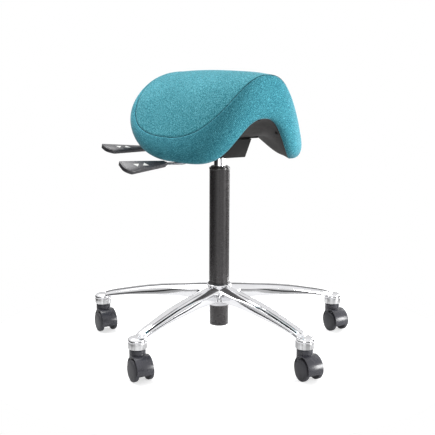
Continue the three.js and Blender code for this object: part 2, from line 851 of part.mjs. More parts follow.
function pawlBody() {
  const low = [quadrantRadius + pawl.clearance, tiltRodPlace.z - pawl.tipHalfHeight];
  const high = [tiltRodPlace.y, tiltRodPlace.z + pawl.tipHalfHeight];
  return ringedArm(pawl.halfWidth, pawl.ringWall, tiltRodPlace, low, high);
}

function addLevers() {
  addPiece("lift_lever_rod", liftRod(), steel);
  addPaddle("lift_lever_paddle", liftPaddleStart, liftLever.rise, liftLever.roll);
  addPiece("lift_finger", fingerBody(), steel);
  addPiece("tilt_lever_rod", tiltRod(), steel);
  addPaddle("tilt_lever_paddle", tiltPaddleStart, tiltLever.rise, tiltLever.roll);
  addPiece("tilt_pawl", pawlBody(), steel);
}

// Gas lift
function pressureTubeBody() {
  const { radius, wall, neckTaper } = pressureTube;
  const inner = radius - wall;
  const bore = valve.radius + runningGap;
  return turnedRing([
    [inner, tubeBottom], [radius, tubeBottom], [radius, carrierBottom], [radius - neckTaper, tubeTop],
    [bore, tubeTop], [bore, crownBottom], [inner, crownBottom],
  ], 20);
}

function valveButtonBody() {
  return turned([
    [0, crownBottom - valve.stemSpare],
    [valve.radius, crownBottom - valve.stemSpare],
    [valve.radius, buttonTop - gap],
    [valve.radius - gap, buttonTop],
    [0, buttonTop],
  ], 12);
}

function pistonRodBody() {
  const neckTop = floorBottom - gap;
  const neckBottom = neckTop - pistonRod.neckHeight;
  const tip = neckBottom - pistonRod.tipHeight;
  const pistonTop = crownBottom - pistonRod.headroom;
  const pistonBottom = pistonTop - pistonRod.pistonHeight;
  const pistonRadius = pressureTube.radius - pressureTube.wall - pistonRod.pistonGap;
  return turned([
    [0, tip],
    [pistonRod.radius, tip],
    [pistonRod.radius, neckBottom],
    [pistonRodNeck, neckBottom],
    [pistonRodNeck, neckTop],
    [pistonRod.radius, neckTop],
    [pistonRod.radius, pistonBottom],
    [pistonRadius, pistonBottom],
    [pistonRadius, pistonTop],
    [0, pistonTop],
  ], 12);
}

function washer(inner, width, bottom, height, sides) {
  const outer = inner + width;
  const top = bottom + height;
  return turnedRing([[inner, bottom], [outer, bottom], [outer, top], [inner, top]], sides);
}

// The column narrows a little where it seats in the hub
function columnBody() {
  const lip = column.radius + column.lipThickness;
  const lipBottom = columnTop - column.lipHeight;
  return turnedRing([
    [columnInner, column.bottom], [columnSeat, column.bottom], [columnSeat, hubBottom],
    [column.radius, base.hubTop], [column.radius, lipBottom], [lip, lipBottom], [lip, columnTop],
    [columnInner, columnTop], [columnInner, floorTop],
    [pistonRodHole, floorTop], [pistonRodHole, floorBottom], [columnInner, floorBottom],
  ], 24);
}

function guideBushBody() {
  const inner = pressureTube.radius + runningGap;
  const bottom = columnTop + guideBush.topRim - guideBush.length;
  return washer(inner, columnInner - gap - inner, bottom, guideBush.length, 20);
}

function retainingClipBody() {
  const bore = pistonRodNeck + gap;
  const outer = pistonRod.radius + clip.flange;
  return washer(bore, outer - bore, floorBottom - 2 * gap - clip.thickness, clip.thickness, 12);
}

function addGasLift() {
  addPiece("pressure_tube", pressureTubeBody(), chrome);
  addPiece("valve_button", valveButtonBody(), steel);
  addPiece("piston_rod", pistonRodBody(), steel);
  const bearing = washer(pistonRodHole, thrustBearing.width, bearingBottom, thrustBearing.height, 12);
  addPiece("thrust_bearing", bearing, steel);
  addPiece("bump_stop", washer(pistonRodHole, bumpStop.width, stopBottom, bumpStop.height, 12), rubber);
  addPiece("retaining_clip", retainingClipBody(), steel);
  addPiece("column_tube", columnBody(), blackSteel);
  addPiece("guide_bush", guideBushBody(), blackPlastic);
}

// Base
function armRing([reachShare, widthShare, fallShare, depthShare]) {
  const tipTop = socketTop + base.socketDome + base.armTipRise;
  const top = tipTop + (base.hubTop - tipTop) * fallShare;
  const depth = base.armDepth * depthShare;
  const halfWidth = base.armHalfWidth * widthShare;
  const side = armSectionShares.map(([across, up]) => [across * halfWidth, top - (1 - up) * depth]);
  const mirrored = side.map(([across, up]) => [-across, up]).reverse();
  const reach = base.stemCircle * reachShare;
  return [...side, [0, top], ...mirrored].map(([across, up]) => new THREE.Vector3(reach, across, up));
}

function centreOf(ring) {
  return ring.reduce((sum, point) => sum.add(point), new THREE.Vector3()).divideScalar(ring.length);
}

function armBody() {
  const rings = armStationShares.map(armRing);
  return ringBody([[centreOf(rings[0])], ...rings, [centreOf(rings.at(-1))]]);
}

function socketBody() {
  const domeTop = socketTop + base.socketDome;
  return turned([
    [0, socketBottom], [base.socketRadius, socketBottom], [base.socketRadius, socketTop],
    [base.socketRadius - base.socketDome, domeTop], [0, domeTop],
  ], 16).translate(base.stemCircle, 0, 0);
}

function hubBody() {
  const waist = columnSeat + base.hubWaistWall;
  return turned([
    [0, hubBottom], [waist, hubBottom], [hubRadius, base.hubTop - base.armDepth],
    [hubRadius, base.hubTop], [0, base.hubTop],
  ], 24);
}

function hubBore() {
  const low = hubBottom - overrun;
  const high = base.hubTop + overrun;
  return turned([
    [0, low], [columnSeat + gap, low], [columnSeat + gap, hubBottom],
    [column.radius + gap, base.hubTop], [column.radius + gap, high], [0, high],
  ], 24);
}

function armAngle(index) {
  return base.firstArmAngle + (index * 2 * Math.PI) / base.arms;
}

function stemPlace(index) {
  const angle = armAngle(index);
  return { x: base.stemCircle * Math.cos(angle), y: base.stemCircle * Math.sin(angle) };
}

function baseBody() {
  let body = solidOf(hubBody());
  const stemHoles = [];
  for (let i = 0; i < base.arms; i += 1) {
    body = join(body, solidOf(armBody().rotateZ(armAngle(i))), solidOf(socketBody().rotateZ(armAngle(i))));
    const holeTop = stemTop + gap;
    stemHoles.push(bar(stemBore, "z", socketBottom - overrun, holeTop, stemPlace(i), caster.stemSides));
  }
  return geometryOf(cut(body, solidOf(hubBore()), ...stemHoles));
}

function addBase() {
  addPiece("star_base", baseBody(), polished);
  const ring = washer(column.radius + gap, base.ringWidth, base.hubTop + gap, base.ringHeight, 24);
  addPiece("hub_ring", ring, blackPlastic);
}

// Casters: the axle lies in front of the stem by the trail, along -Y
function wheelProfile() {
  const { wheelDome, treadRound, hubRecess, axleRadius, axleDepthInWheel } = caster;
  const bore = axleRadius + runningGap;
  return [
    [0, wheelInner + axleDepthInWheel],
    [bore, wheelInner + axleDepthInWheel],
    [bore, wheelInner],
    [wheelCorner - treadRound, wheelInner],
    [wheelCorner, wheelInner + treadRound],
    [wheelCorner, wheelOuter - treadRound],
    [wheelCorner - treadRound, wheelOuter],
    [wheelCorner - treadRound - hubRecess, wheelOuter],
    [0, wheelOuter + wheelDome],
  ];
}

const axlePlace = { y: -caster.trail, z: caster.wheelRadius };
const hoodPlace = { y: -caster.trail, z: caster.wheelRadius + caster.hoodLift };

function wheelBody(side) {
  const geometry = turned(wheelProfile(), caster.wheelSides);
  const flatDown = Math.PI / caster.wheelSides - Math.PI / 2;
  geometry.rotateZ(flatDown).rotateY((side * Math.PI) / 2);
  return geometry.translate(0, axlePlace.y, axlePlace.z);
}

// An upright round plate across the caster, cut off level at its lower edge
function hoodPlate(radius, centre, halfWidth, low) {
  const arcStart = Math.asin((low - centre.z) / radius);
  const arc = new THREE.EllipseCurve(centre.y, centre.z, radius, radius, arcStart, Math.PI - arcStart);
  const points = arc.getPoints(12).map((point) => [point.x, point.y]);
  return solidOf(sidePlate(points, -halfWidth, halfWidth));
}

// The hood's web stands between the wheels, and its neck holds the stem
function casterBlank() {
  const webRadius = caster.wheelRadius - caster.webSetback;
  const web = hoodPlate(webRadius, axlePlace, caster.webHalfWidth, caster.webBottom);
  const outside = hoodPlate(caster.hoodRadius, hoodPlace, hoodHalfWidth, caster.hoodLow);
  const neck = bar(caster.neckRadius, "z", hoodPlace.z, neckTop, {}, 16);
  return join(web, outside, neck);
}

function casterHousing() {
  const reach = hoodHalfWidth + overrun;
  const room = caster.hoodRadius - caster.hoodWall;
  const wheelRooms = [
    bar(room, "x", -reach, -caster.webHalfWidth, hoodPlace, 20),
    bar(room, "x", caster.webHalfWidth, reach, hoodPlace, 20),
  ];
  const stemRoom = caster.stemRadius + gap;
  const stemHole = bar(stemRoom, "z", stemBottom - gap, neckTop + overrun, {}, caster.stemSides);
  const axleHole = bar(caster.axleRadius + runningGap, "x", -reach, reach, axlePlace, 8);
  return geometryOf(cut(casterBlank(), ...wheelRooms, stemHole, axleHole));
}

function casterStem() {
  const radius = caster.stemRadius;
  const collar = radius + caster.collarWidth;
  return turned([
    [0, stemBottom], [radius, stemBottom], [radius, collarBottom], [collar, collarBottom],
    [collar, collarTop], [radius, collarTop], [radius, stemTop - radius / 2], [radius / 2, stemTop],
    [0, stemTop],
  ], caster.stemSides);
}

function casterAxle() {
  const end = wheelInner + caster.axleDepthInWheel - gap;
  return geometryOf(bar(caster.axleRadius, "x", -end, end, axlePlace, 8));
}

function addCasters() {
  for (let i = 0; i < base.arms; i += 1) {
    const place = new THREE.Group();
    const { x, y } = stemPlace(i);
    place.position.set(x, y, 0);
    stool.add(place);
    const name = `caster_${i + 1}`;
    addPiece(`${name}_housing`, casterHousing(), wheelPlastic, place);
    addPiece(`${name}_stem`, casterStem(), steel, place);
    addPiece(`${name}_axle`, casterAxle(), steel, place);
    addPiece(`${name}_wheel_left`, wheelBody(-1), wheelPlastic, place);
    addPiece(`${name}_wheel_right`, wheelBody(1), wheelPlastic, place);
  }
}

addSaddle();
addMechanism();
addLevers();
addGasLift();
addBase();
addCasters();

export default stool;
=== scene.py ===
"""Dresses the saddle stool: upholstered saddle, tilt mechanism, levers, gas lift, star base and casters.

Metres, +Z up. The origin is on the floor under the column, and the saddle's front faces -Y.
"""

from __future__ import annotations

import logging
import math
from dataclasses import dataclass, field
from enum import Enum
from typing import Callable, Iterable, Sequence

import bmesh
import bpy
from mathutils import Matrix, Vector
from mathutils.bvhtree import BVHTree


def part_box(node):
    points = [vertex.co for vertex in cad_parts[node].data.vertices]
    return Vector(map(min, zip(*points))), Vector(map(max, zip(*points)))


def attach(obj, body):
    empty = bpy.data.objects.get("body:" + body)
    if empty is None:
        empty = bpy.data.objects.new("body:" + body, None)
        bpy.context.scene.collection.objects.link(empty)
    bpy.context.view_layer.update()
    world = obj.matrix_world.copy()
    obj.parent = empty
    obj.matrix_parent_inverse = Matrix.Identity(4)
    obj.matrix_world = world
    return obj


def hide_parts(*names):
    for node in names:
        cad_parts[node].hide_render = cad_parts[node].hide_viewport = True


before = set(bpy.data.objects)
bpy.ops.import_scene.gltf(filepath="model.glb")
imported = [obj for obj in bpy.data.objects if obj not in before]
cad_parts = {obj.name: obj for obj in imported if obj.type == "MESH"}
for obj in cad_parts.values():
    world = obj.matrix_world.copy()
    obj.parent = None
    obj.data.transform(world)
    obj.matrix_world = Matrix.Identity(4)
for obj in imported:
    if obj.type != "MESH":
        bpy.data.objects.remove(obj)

log = logging.getLogger("saddle_stool")

BMesh = bmesh.types.BMesh
Material = bpy.types.Material
Socket = bpy.types.NodeSocket
Colour = tuple[float, float, float]
Pairs = Sequence[tuple[float, float]]
Place = Callable[[float, float], Vector]

# Turns an outline in X and Y into one in Y and Z, with its height along X.
SIDEWAYS = Matrix(((0, 0, 1, 0), (1, 0, 0, 0), (0, 1, 0, 0), (0, 0, 0, 1)))
GRID_WELD = 2e-6
SPIN_WELD = 1e-6


def srgb(red: int, green: int, blue: int) -> Colour:
    """Turns an 8-bit screen colour into the linear colour that shaders take.

    Args:
        red: Its red part.
        green: Its green part.
        blue: Its blue part.

    Returns:
        The linear colour.
    """

    def linear(value: int) -> float:
        """Straightens one channel's curve."""
        share = value / 255
        return share / 12.92 if share <= 0.04045 else ((share + 0.055) / 1.055) ** 2.4

    return linear(red), linear(green), linear(blue)


# Mesh making


def finished(name: str, bm: BMesh) -> bpy.types.Mesh:
    """Turns a working mesh into one that the scene can hold, and frees it.

    Args:
        name: The mesh's name.
        bm: The working mesh.

    Returns:
        The scene's mesh.
    """
    mesh = bpy.data.meshes.new(name)
    bm.to_mesh(mesh)
    bm.free()
    return mesh


def in_scene(name: str, data: bpy.types.ID) -> bpy.types.Object:
    """Puts a mesh, a lamp or a camera in the scene.

    Args:
        name: The object's name.
        data: What it shows.

    Returns:
        The object.
    """
    thing = bpy.data.objects.new(name, data)
    bpy.context.scene.collection.objects.link(thing)
    return thing


def moved(bm: BMesh, matrix: Matrix) -> BMesh:
    """Places a mesh by a matrix."""
    bmesh.ops.transform(bm, verts=bm.verts, matrix=matrix)
    return bm


def facing_side(bm: BMesh, centre: Vector, side: int) -> BMesh:
    """Lays a turned body's axis along X, to the left for -1 and to the right for 1."""
    return moved(bm, Matrix.Translation(centre) @ Matrix.Rotation(side * math.pi / 2, 4, "Y"))


def curve(points: Sequence[Vector], share: float) -> Vector:
    """Gives the point at a share of the smooth curve that a few points steer.

    Args:
        points: The ends and what steers between them.
        share: How far along, from 0 to 1.

    Returns:
        The point.
    """
    while len(points) > 1:
        points = [first.lerp(second, share) for first, second in zip(points, points[1:])]
    return points[0]


def within(value: float, low: float = 0.0, high: float = 1.0) -> float:
    """Keeps a value between two others."""
    return max(low, min(high, value))


def mapped_grid(columns: int, rows: int, place: Place, unwrap: Place | None = None) -> BMesh:
    """Lays a grid over a surface and welds where it meets itself.

    Args:
        columns: Steps round or across the surface.
        rows: Steps along the surface.
        place: Gives the point for two shares from 0 to 1.
        unwrap: Gives the cloth coordinates for the same two shares, in metres.

    Returns:
        The welded surface, with its faces turned one way.
    """
    bm = bmesh.new()
    bmesh.ops.create_grid(bm, x_segments=columns, y_segments=rows, size=0.5)
    if unwrap is not None:
        layer = bm.loops.layers.uv.new("cloth")
        for face in bm.faces:
            for loop in face.loops:
                flat = unwrap(loop.vert.co.x + 0.5, loop.vert.co.y + 0.5)
                loop[layer].uv = (flat.x, flat.y)
    for vert in bm.verts:
        vert.co = place(vert.co.x + 0.5, vert.co.y + 0.5)
    bmesh.ops.remove_doubles(bm, verts=bm.verts, dist=GRID_WELD)
    bmesh.ops.recalc_face_normals(bm, faces=bm.faces)
    return bm


def sharp_edges(bm: BMesh, angle: float) -> list[bmesh.types.BMEdge]:
    """Lists the edges whose two faces turn by more than the angle."""
    return [e for e in bm.edges if len(e.link_faces) == 2 and e.calc_face_angle(0.0) > angle]


def bevelled(bm: BMesh, edges: list[bmesh.types.BMEdge], width: float, segments: int) -> None:
    """Turns edges into roundings of a width, with that many faces across.

    Args:
        bm: The mesh.
        edges: The edges to round.
        width: How far the rounding reaches.
        segments: Faces across it.
    """
    bmesh.ops.bevel(
        bm, geom=edges, offset=width, offset_type="OFFSET", segments=segments,
        profile=0.5, affect="EDGES", clamp_overlap=True, material=-1,
    )


def round_over(bm: BMesh, width: float, segments: int = 2, angle: float = 0.6) -> BMesh:
    """Rounds the sharp edges of a mesh.

    Args:
        bm: The mesh.
        width: How far the rounding reaches from the edge.
        segments: Faces across the rounding.
        angle: Edges that turn by more than this are rounded.

    Returns:
        The same mesh.
    """
    edges = sharp_edges(bm, angle)
    if width > 0 and edges:
        bevelled(bm, edges, width, segments)
    return bm


def turned(profile: Pairs, steps: int = 64, rounding: float = 0.0004) -> BMesh:
    """Spins a profile of radius and height about the Z axis.

    Args:
        profile: Pairs of radius and height, closed on itself or ending on the axis.
        steps: Faces in a full turn.
        rounding: The width by which sharp rims are rounded.

    Returns:
        The closed turned body.
    """
    bm = bmesh.new()
    verts = [bm.verts.new((radius, 0.0, height)) for radius, height in profile]
    edges = [bm.edges.new(pair) for pair in zip(verts, verts[1:])]
    bmesh.ops.spin(
        bm, geom=verts + edges, axis=(0, 0, 1), cent=(0, 0, 0), angle=2 * math.pi,
        steps=steps, use_merge=True, use_duplicate=False,
    )
    bmesh.ops.remove_doubles(bm, verts=bm.verts, dist=SPIN_WELD)
    bmesh.ops.recalc_face_normals(bm, faces=bm.faces)
    return round_over(bm, rounding)


def ring_profile(profile: Pairs) -> Pairs:
    """Closes a profile that stays off the axis."""
    return [*profile, profile[0]]


def plate(outline: Pairs, low: float, high: float, rounding: float) -> BMesh:
    """Makes a flat plate from an outline in X and Y.

    Args:
        outline: The corners in order.
        low: Height of the underside.
        high: Height of the upper side.
        rounding: The width by which its edges are rounded.

    Returns:
        The plate.
    """
    bm = bmesh.new()
    face = bm.faces.new([bm.verts.new((x, y, low)) for x, y in outline])
    made = bmesh.ops.extrude_face_region(bm, geom=[face])
    raised = [item for item in made["geom"] if isinstance(item, bmesh.types.BMVert)]
    bmesh.ops.translate(bm, verts=raised, vec=(0, 0, high - low))
    bmesh.ops.recalc_face_normals(bm, faces=bm.faces)
    return round_over(bm, rounding)


def side_plate(outline: Pairs, low: float, high: float, rounding: float) -> BMesh:
    """Makes a plate from an outline in Y and Z with a width along X."""
    return moved(plate(outline, low, high, rounding), SIDEWAYS)


def merged(parts: Iterable[BMesh]) -> BMesh:
    """Collects several bodies in one mesh and frees the originals.

    Args:
        parts: The bodies.

    Returns:
        One mesh with all of them.
    """
    whole = bmesh.new()
    for part in parts:
        scratch = finished("scratch", part)
        whole.from_mesh(scratch)
        bpy.data.meshes.remove(scratch)
    return whole


def smooth_path(points: Sequence[Vector], bend: float, steps: int = 10) -> list[Vector]:
    """Rounds the corners of a path of straight runs.

    Args:
        points: The path's ends and corners.
        bend: How far from each corner the bend starts.
        steps: Points in each bend.

    Returns:
        The points along the rounded path.
    """
    path = [points[0]]
    for before, corner, after in zip(points, points[1:], points[2:]):
        start = corner + (before - corner).normalized() * bend
        end = corner + (after - corner).normalized() * bend
        for step in range(steps + 1):
            path.append(curve((start, corner, end), step / steps))
    path.append(points[-1])
    return path


def rod_along(path: Sequence[Vector], radius: float, around: int = 20) -> BMesh:
    """Sweeps a round section along a path and closes its two ends.

    Args:
        path: Points along the middle.
        radius: The section's radius.
        around: Faces round the section.

    Returns:
        The closed rod.
    """
    bm = bmesh.new()
    loops = []
    facing = (path[1] - path[0]).to_track_quat("Z", "Y")
    for index, point in enumerate(path):
        ahead = path[min(index + 1, len(path) - 1)] - path[max(index - 1, 0)]
        turn = (facing @ Vector((0, 0, 1))).rotation_difference(ahead.normalized())
        facing = turn @ facing
        matrix = Matrix.Translation(point) @ facing.to_matrix().to_4x4()
        ends = index in (0, len(path) - 1)
        ring = bmesh.ops.create_circle(bm, cap_ends=ends, segments=around, radius=radius, matrix=matrix)
        loops.append(list({e for v in ring["verts"] for e in v.link_edges}))
    for first, second in zip(loops, loops[1:]):
        bmesh.ops.bridge_loops(bm, edges=first + second)
    bmesh.ops.recalc_face_normals(bm, faces=bm.faces)
    return round_over(bm, radius * 0.2, 2, 1.2)


# Pieces in the scene


class Body(Enum):
    """The moving bodies that pieces ride on."""

    BASE = "base"
    GAS_ROD = "gas_rod"
    LIFT_STAGE = "lift_stage"
    VALVE = "valve"
    SEAT = "seat"
    LIFT_LEVER = "lift_lever"
    TILT_LEVER = "tilt_lever"


def body_name(body: Body | str) -> str:
    """Gives a body's name as the frame knows it."""
    return body.value if isinstance(body, Body) else body


def add_piece(
    name: str, bm: BMesh, material: Material, body: Body | str,
    slot: str, replaces: Sequence[str] = (), crease: float = 0.7,
) -> bpy.types.Object:
    """Puts a finished mesh in the scene as a piece that rides on a body.

    Args:
        name: The piece's name.
        bm: Its mesh, in its place; it is freed.
        material: Its finish.
        body: The body that it moves with.
        slot: The material slot that it stands for; not used.
        replaces: The solids that it is shown in place of.
        crease: Edges that turn by more than this stay sharp.

    Returns:
        The new object.
    """
    mesh = finished(name, bm)
    mesh.shade_smooth()
    mesh.set_sharp_from_angle(angle=crease)
    mesh.materials.append(material)
    piece = in_scene(name, mesh)
    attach(piece, body_name(body))
    if replaces:
        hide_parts(*replaces)
    log.info("%s: %d faces", name, len(mesh.polygons))
    return piece


def dress_node(node: str, material: Material) -> None:
    """Gives a kept solid its finish.

    Args:
        node: The solid's name.
        material: Its finish.
    """
    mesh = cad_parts[node].data
    mesh.materials.clear()
    mesh.materials.append(material)


# Finishes


def grey(stops: Pairs) -> list[tuple[float, Colour]]:
    """Turns pairs of place and brightness into ramp stops."""
    return [(place, (level, level, level)) for place, level in stops]


class NodeBoard:
    """A node tree whose nodes are added and wired by short calls."""

    def __init__(self, tree: bpy.types.NodeTree) -> None:
        """Takes up a tree.

        Args:
            tree: The nodes of a material or of the world.
        """
        self.tree = tree

    def add(self, kind: str, **values: object) -> bpy.types.Node:
        """Adds a node and sets its sockets and properties.

        Args:
            kind: The node's type.
            **values: Socket values under their names with underscores, or properties.

        Returns:
            The node.
        """
        node = self.tree.nodes.new(kind)
        for key, value in values.items():
            socket = node.inputs.get(key.replace("_", " "))
            if socket is not None:
                socket.default_value = value
            else:
                setattr(node, key, value)
        return node

    def wire(self, source: Socket, target: Socket) -> None:
        """Joins two sockets."""
        self.tree.links.new(source, target)

    def math(self, operation: str, first: Socket | float, second: Socket | float) -> Socket:
        """Adds a sum of two sockets or numbers.

        Args:
            operation: The kind of sum.
            first: A socket or a number.
            second: A socket or a number.

        Returns:
            The answer's socket.
        """
        node = self.add("ShaderNodeMath", operation=operation)
        for index, value in enumerate((first, second)):
            if isinstance(value, Socket):
                self.wire(value, node.inputs[index])
            else:
                node.inputs[index].default_value = value
        return node.outputs[0]

    def scaled(self, source: Socket, factor: float, offset: float) -> Socket:
        """Multiplies a socket by a factor and adds an offset.

        Args:
            source: The socket.
            factor: What it is multiplied by.
            offset: What is added.

        Returns:
            The answer's socket.
        """
        answer = self.math("MULTIPLY_ADD", source, factor)
        answer.node.inputs[2].default_value = offset
        return answer

    def centred(self, source: Socket, middle: float, share: float) -> Socket:
        """Gives a share of how far a socket lies from a middle value."""
        return self.math("MULTIPLY", self.math("SUBTRACT", source, middle), share)

    def ramp(self, source: Socket, stops: Sequence[tuple[float, Colour]]) -> Socket:
        """Maps a number to a colour through the given stops.

        Args:
            source: The number.
            stops: Pairs of place and colour.

        Returns:
            The colour's socket.
        """
        node = self.add("ShaderNodeValToRGB")
        elements = node.color_ramp.elements
        while len(elements) < len(stops):
            elements.new(0.5)
        for element, (place, colour) in zip(elements, stops):
            element.position = place
            element.color = (*colour, 1.0)
        self.wire(source, node.inputs[0])
        return node.outputs[0]

    def span(self, source: Socket, first: float, last: float, **values: object) -> Socket:
        """Maps a number's way from a first to a last value onto 0 to 1.

        Args:
            source: The number.
            first: Where it gives 0.
            last: Where it gives 1.
            **values: Further properties.

        Returns:
            The answer's socket.
        """
        node = self.add("ShaderNodeMapRange", From_Min=first, From_Max=last, **values)
        self.wire(source, node.inputs["Value"])
        return node.outputs[0]

    def along(self, source: Socket, way: Vector) -> Socket:
        """Tells how far a direction points one way.

        Args:
            source: The direction.
            way: The way to compare it with.

        Returns:
            The answer's socket.
        """
        node = self.add("ShaderNodeVectorMath", operation="DOT_PRODUCT")
        node.inputs[1].default_value = way
        self.wire(source, node.inputs[0])
        return node.outputs["Value"]

    def mix(self, share: Socket, first: Socket, second: Socket) -> Socket:
        """Blends two shaders by a share.

        Args:
            share: Share of the second.
            first: One shader.
            second: The other shader.

        Returns:
            The blend's socket.
        """
        node = self.add("ShaderNodeMixShader")
        for source, target in zip((share, first, second), node.inputs):
            self.wire(source, target)
        return node.outputs[0]


class MaterialBoard(NodeBoard):
    """A material's nodes around its one shader."""

    def __init__(self, name: str) -> None:
        """Starts a material with a plain shader.

        Args:
            name: The material's name.
        """
        self.material = bpy.data.materials.new(name)
        self.material.use_nodes = True
        super().__init__(self.material.node_tree)
        self.shader = self.tree.nodes["Principled BSDF"]

    def tint(self, pattern: Socket, stops: Sequence[tuple[float, Colour]]) -> None:
        """Colours the surface by a pattern."""
        self.wire(self.ramp(pattern, stops), self.shader.inputs["Base Color"])

    def roughen(self, pattern: Socket, roughness: float, spread: float) -> None:
        """Varies the roughness about its mean by a pattern."""
        least = max(roughness - spread / 2, 0.01)
        self.wire(self.scaled(pattern, spread, least), self.shader.inputs["Roughness"])

    def noise(self, coordinates: Socket, scale: float, detail: float = 2.0) -> Socket:
        """Adds a noise of that many features to the metre.

        Args:
            coordinates: Where the pattern lies.
            scale: Features to the metre.
            detail: Finer layers.

        Returns:
            The pattern's socket.
        """
        node = self.add("ShaderNodeTexNoise", Scale=scale, Detail=detail)
        self.wire(coordinates, node.inputs["Vector"])
        return node.outputs["Fac"]

    def bump(self, height: Socket, distance: float, strength: float = 1.0) -> None:
        """Raises the surface by a height map, in metres.

        Args:
            height: The height map.
            distance: How far it raises the surface.
            strength: Share of it that shows.
        """
        node = self.add("ShaderNodeBump", Distance=distance, Strength=strength)
        self.wire(height, node.inputs["Height"])
        self.wire(node.outputs[0], self.shader.inputs["Normal"])

    def set(self, **values: object) -> None:
        """Sets values on the shader's own sockets."""
        for key, value in values.items():
            self.shader.inputs[key.replace("_", " ")].default_value = value


@dataclass(frozen=True)
class HeatherCloth:
    """A finely woven wool cloth with light and dark yarns."""

    name: str
    dark: Colour
    middle: Colour
    light: Colour
    thread_pitch: float = 0.0013
    turn: float = 0.0
    spread: float = 0.13
    weave_share: float = 0.1
    mottle_scale: float = 480.0
    relief: float = 0.00022

    def build(self) -> Material:
        """Makes the material.

        Returns:
            The woven finish, on the piece's own cloth coordinates.
        """
        board = MaterialBoard(self.name)
        place = board.add("ShaderNodeTexCoord")
        cloth, solid = place.outputs["UV"], place.outputs["Object"]
        mapping = board.add("ShaderNodeMapping", Rotation=(0, 0, self.turn))
        board.wire(cloth, mapping.inputs["Vector"])
        turned_cloth = mapping.outputs[0]
        wave_scale = math.pi / (10 * self.thread_pitch)
        threads = []
        for direction in ("X", "Y"):
            wave = board.add(
                "ShaderNodeTexWave", Scale=wave_scale, Distortion=1.2, Detail=1.0, Detail_Scale=2.0,
                bands_direction=direction,
            )
            board.wire(turned_cloth, wave.inputs["Vector"])
            threads.append(wave.outputs["Fac"])
        weave = board.math("MULTIPLY", threads[0], threads[1])
        mottle = board.noise(solid, self.mottle_scale, 1.5)
        fleck = board.noise(solid, 1100, 1.0)
        blend = board.math("ADD", board.scaled(fleck, 0.4, -0.2), mottle)
        blend = board.math("ADD", blend, board.centred(board.noise(solid, 9, 2.0), 0.5, 0.12))
        blend = board.math("ADD", blend, board.centred(weave, 0.25, self.weave_share))
        low, high = 0.5 - self.spread, 0.5 + self.spread
        board.tint(blend, [(low, self.dark), (0.5, self.middle), (high, self.light)])
        board.bump(board.math("ADD", weave, board.math("MULTIPLY", mottle, 0.8)), self.relief)
        board.set(Roughness=0.92, Sheen_Weight=0.3, Sheen_Roughness=0.3, Specular_IOR_Level=0.15)
        return board.material


@dataclass(frozen=True)
class MouldedPlastic:
    """A moulded plastic or rubber with a fine grain and slightly worn colour."""

    name: str
    colour: Colour
    roughness: float
    grain: float = 900.0
    relief: float = 0.00006
    specular: float = 0.5

    def build(self) -> Material:
        """Makes the material.

        Returns:
            The grained finish.
        """
        board = MaterialBoard(self.name)
        solid = board.add("ShaderNodeTexCoord").outputs["Object"]
        patches = board.noise(solid, 35, 4.0)
        darker = tuple(value * 0.82 for value in self.colour)
        lighter = tuple(min(value * 1.2 + 0.004, 1.0) for value in self.colour)
        board.tint(patches, [(0.3, darker), (0.7, lighter)])
        board.roughen(board.noise(solid, 160, 3.0), self.roughness, 0.22)
        board.bump(board.noise(solid, self.grain, 2.0), self.relief)
        board.set(Specular_IOR_Level=self.specular)
        return board.material


@dataclass(frozen=True)
class BrightMetal:
    """A bare or plated metal, with fine polishing lines and faint smears."""

    name: str
    colour: Colour
    roughness: float
    relief: float = 0.000004
    line_scale: tuple[float, float, float] = (60.0, 60.0, 60.0)
    smear: float = 0.05
    tone: float = 0.93
    tone_scale: tuple[float, float, float] = (1.0, 1.0, 1.0)

    def build(self) -> Material:
        """Makes the material.

        Returns:
            The metal finish.
        """
        board = MaterialBoard(self.name)
        solid = board.add("ShaderNodeTexCoord").outputs["Object"]
        tint = tuple(value * self.tone for value in self.colour)
        toned = board.add("ShaderNodeMapping", Scale=self.tone_scale)
        board.wire(solid, toned.inputs["Vector"])
        board.tint(board.noise(toned.outputs[0], 25, 3.0), [(0.35, tint), (0.65, self.colour)])
        board.roughen(board.noise(solid, 55, 4.0), self.roughness, self.smear)
        stretch = board.add("ShaderNodeMapping", Scale=self.line_scale)
        board.wire(solid, stretch.inputs["Vector"])
        board.bump(board.noise(stretch.outputs[0], 20, 3.0), self.relief)
        board.set(Metallic=1.0)
        return board.material


@dataclass(frozen=True)
class PowderCoat:
    """A satin black coat with a faint orange-peel texture."""

    name: str
    colour: Colour
    roughness: float
    peel: float = 420.0
    relief: float = 0.00003
    specular: float = 0.5

    def build(self) -> Material:
        """Makes the material.

        Returns:
            The coated finish.
        """
        board = MaterialBoard(self.name)
        solid = board.add("ShaderNodeTexCoord").outputs["Object"]
        lighter = tuple(value * 1.25 for value in self.colour)
        board.tint(board.noise(solid, 30, 4.0), [(0.35, self.colour), (0.7, lighter)])
        board.roughen(board.noise(solid, 90, 3.0), self.roughness, 0.12)
        board.bump(board.noise(solid, self.peel, 2.0), self.relief)
        board.set(Coat_Weight=0.3 * self.specular, Coat_Roughness=0.2, Specular_IOR_Level=self.specular)
        return board.material


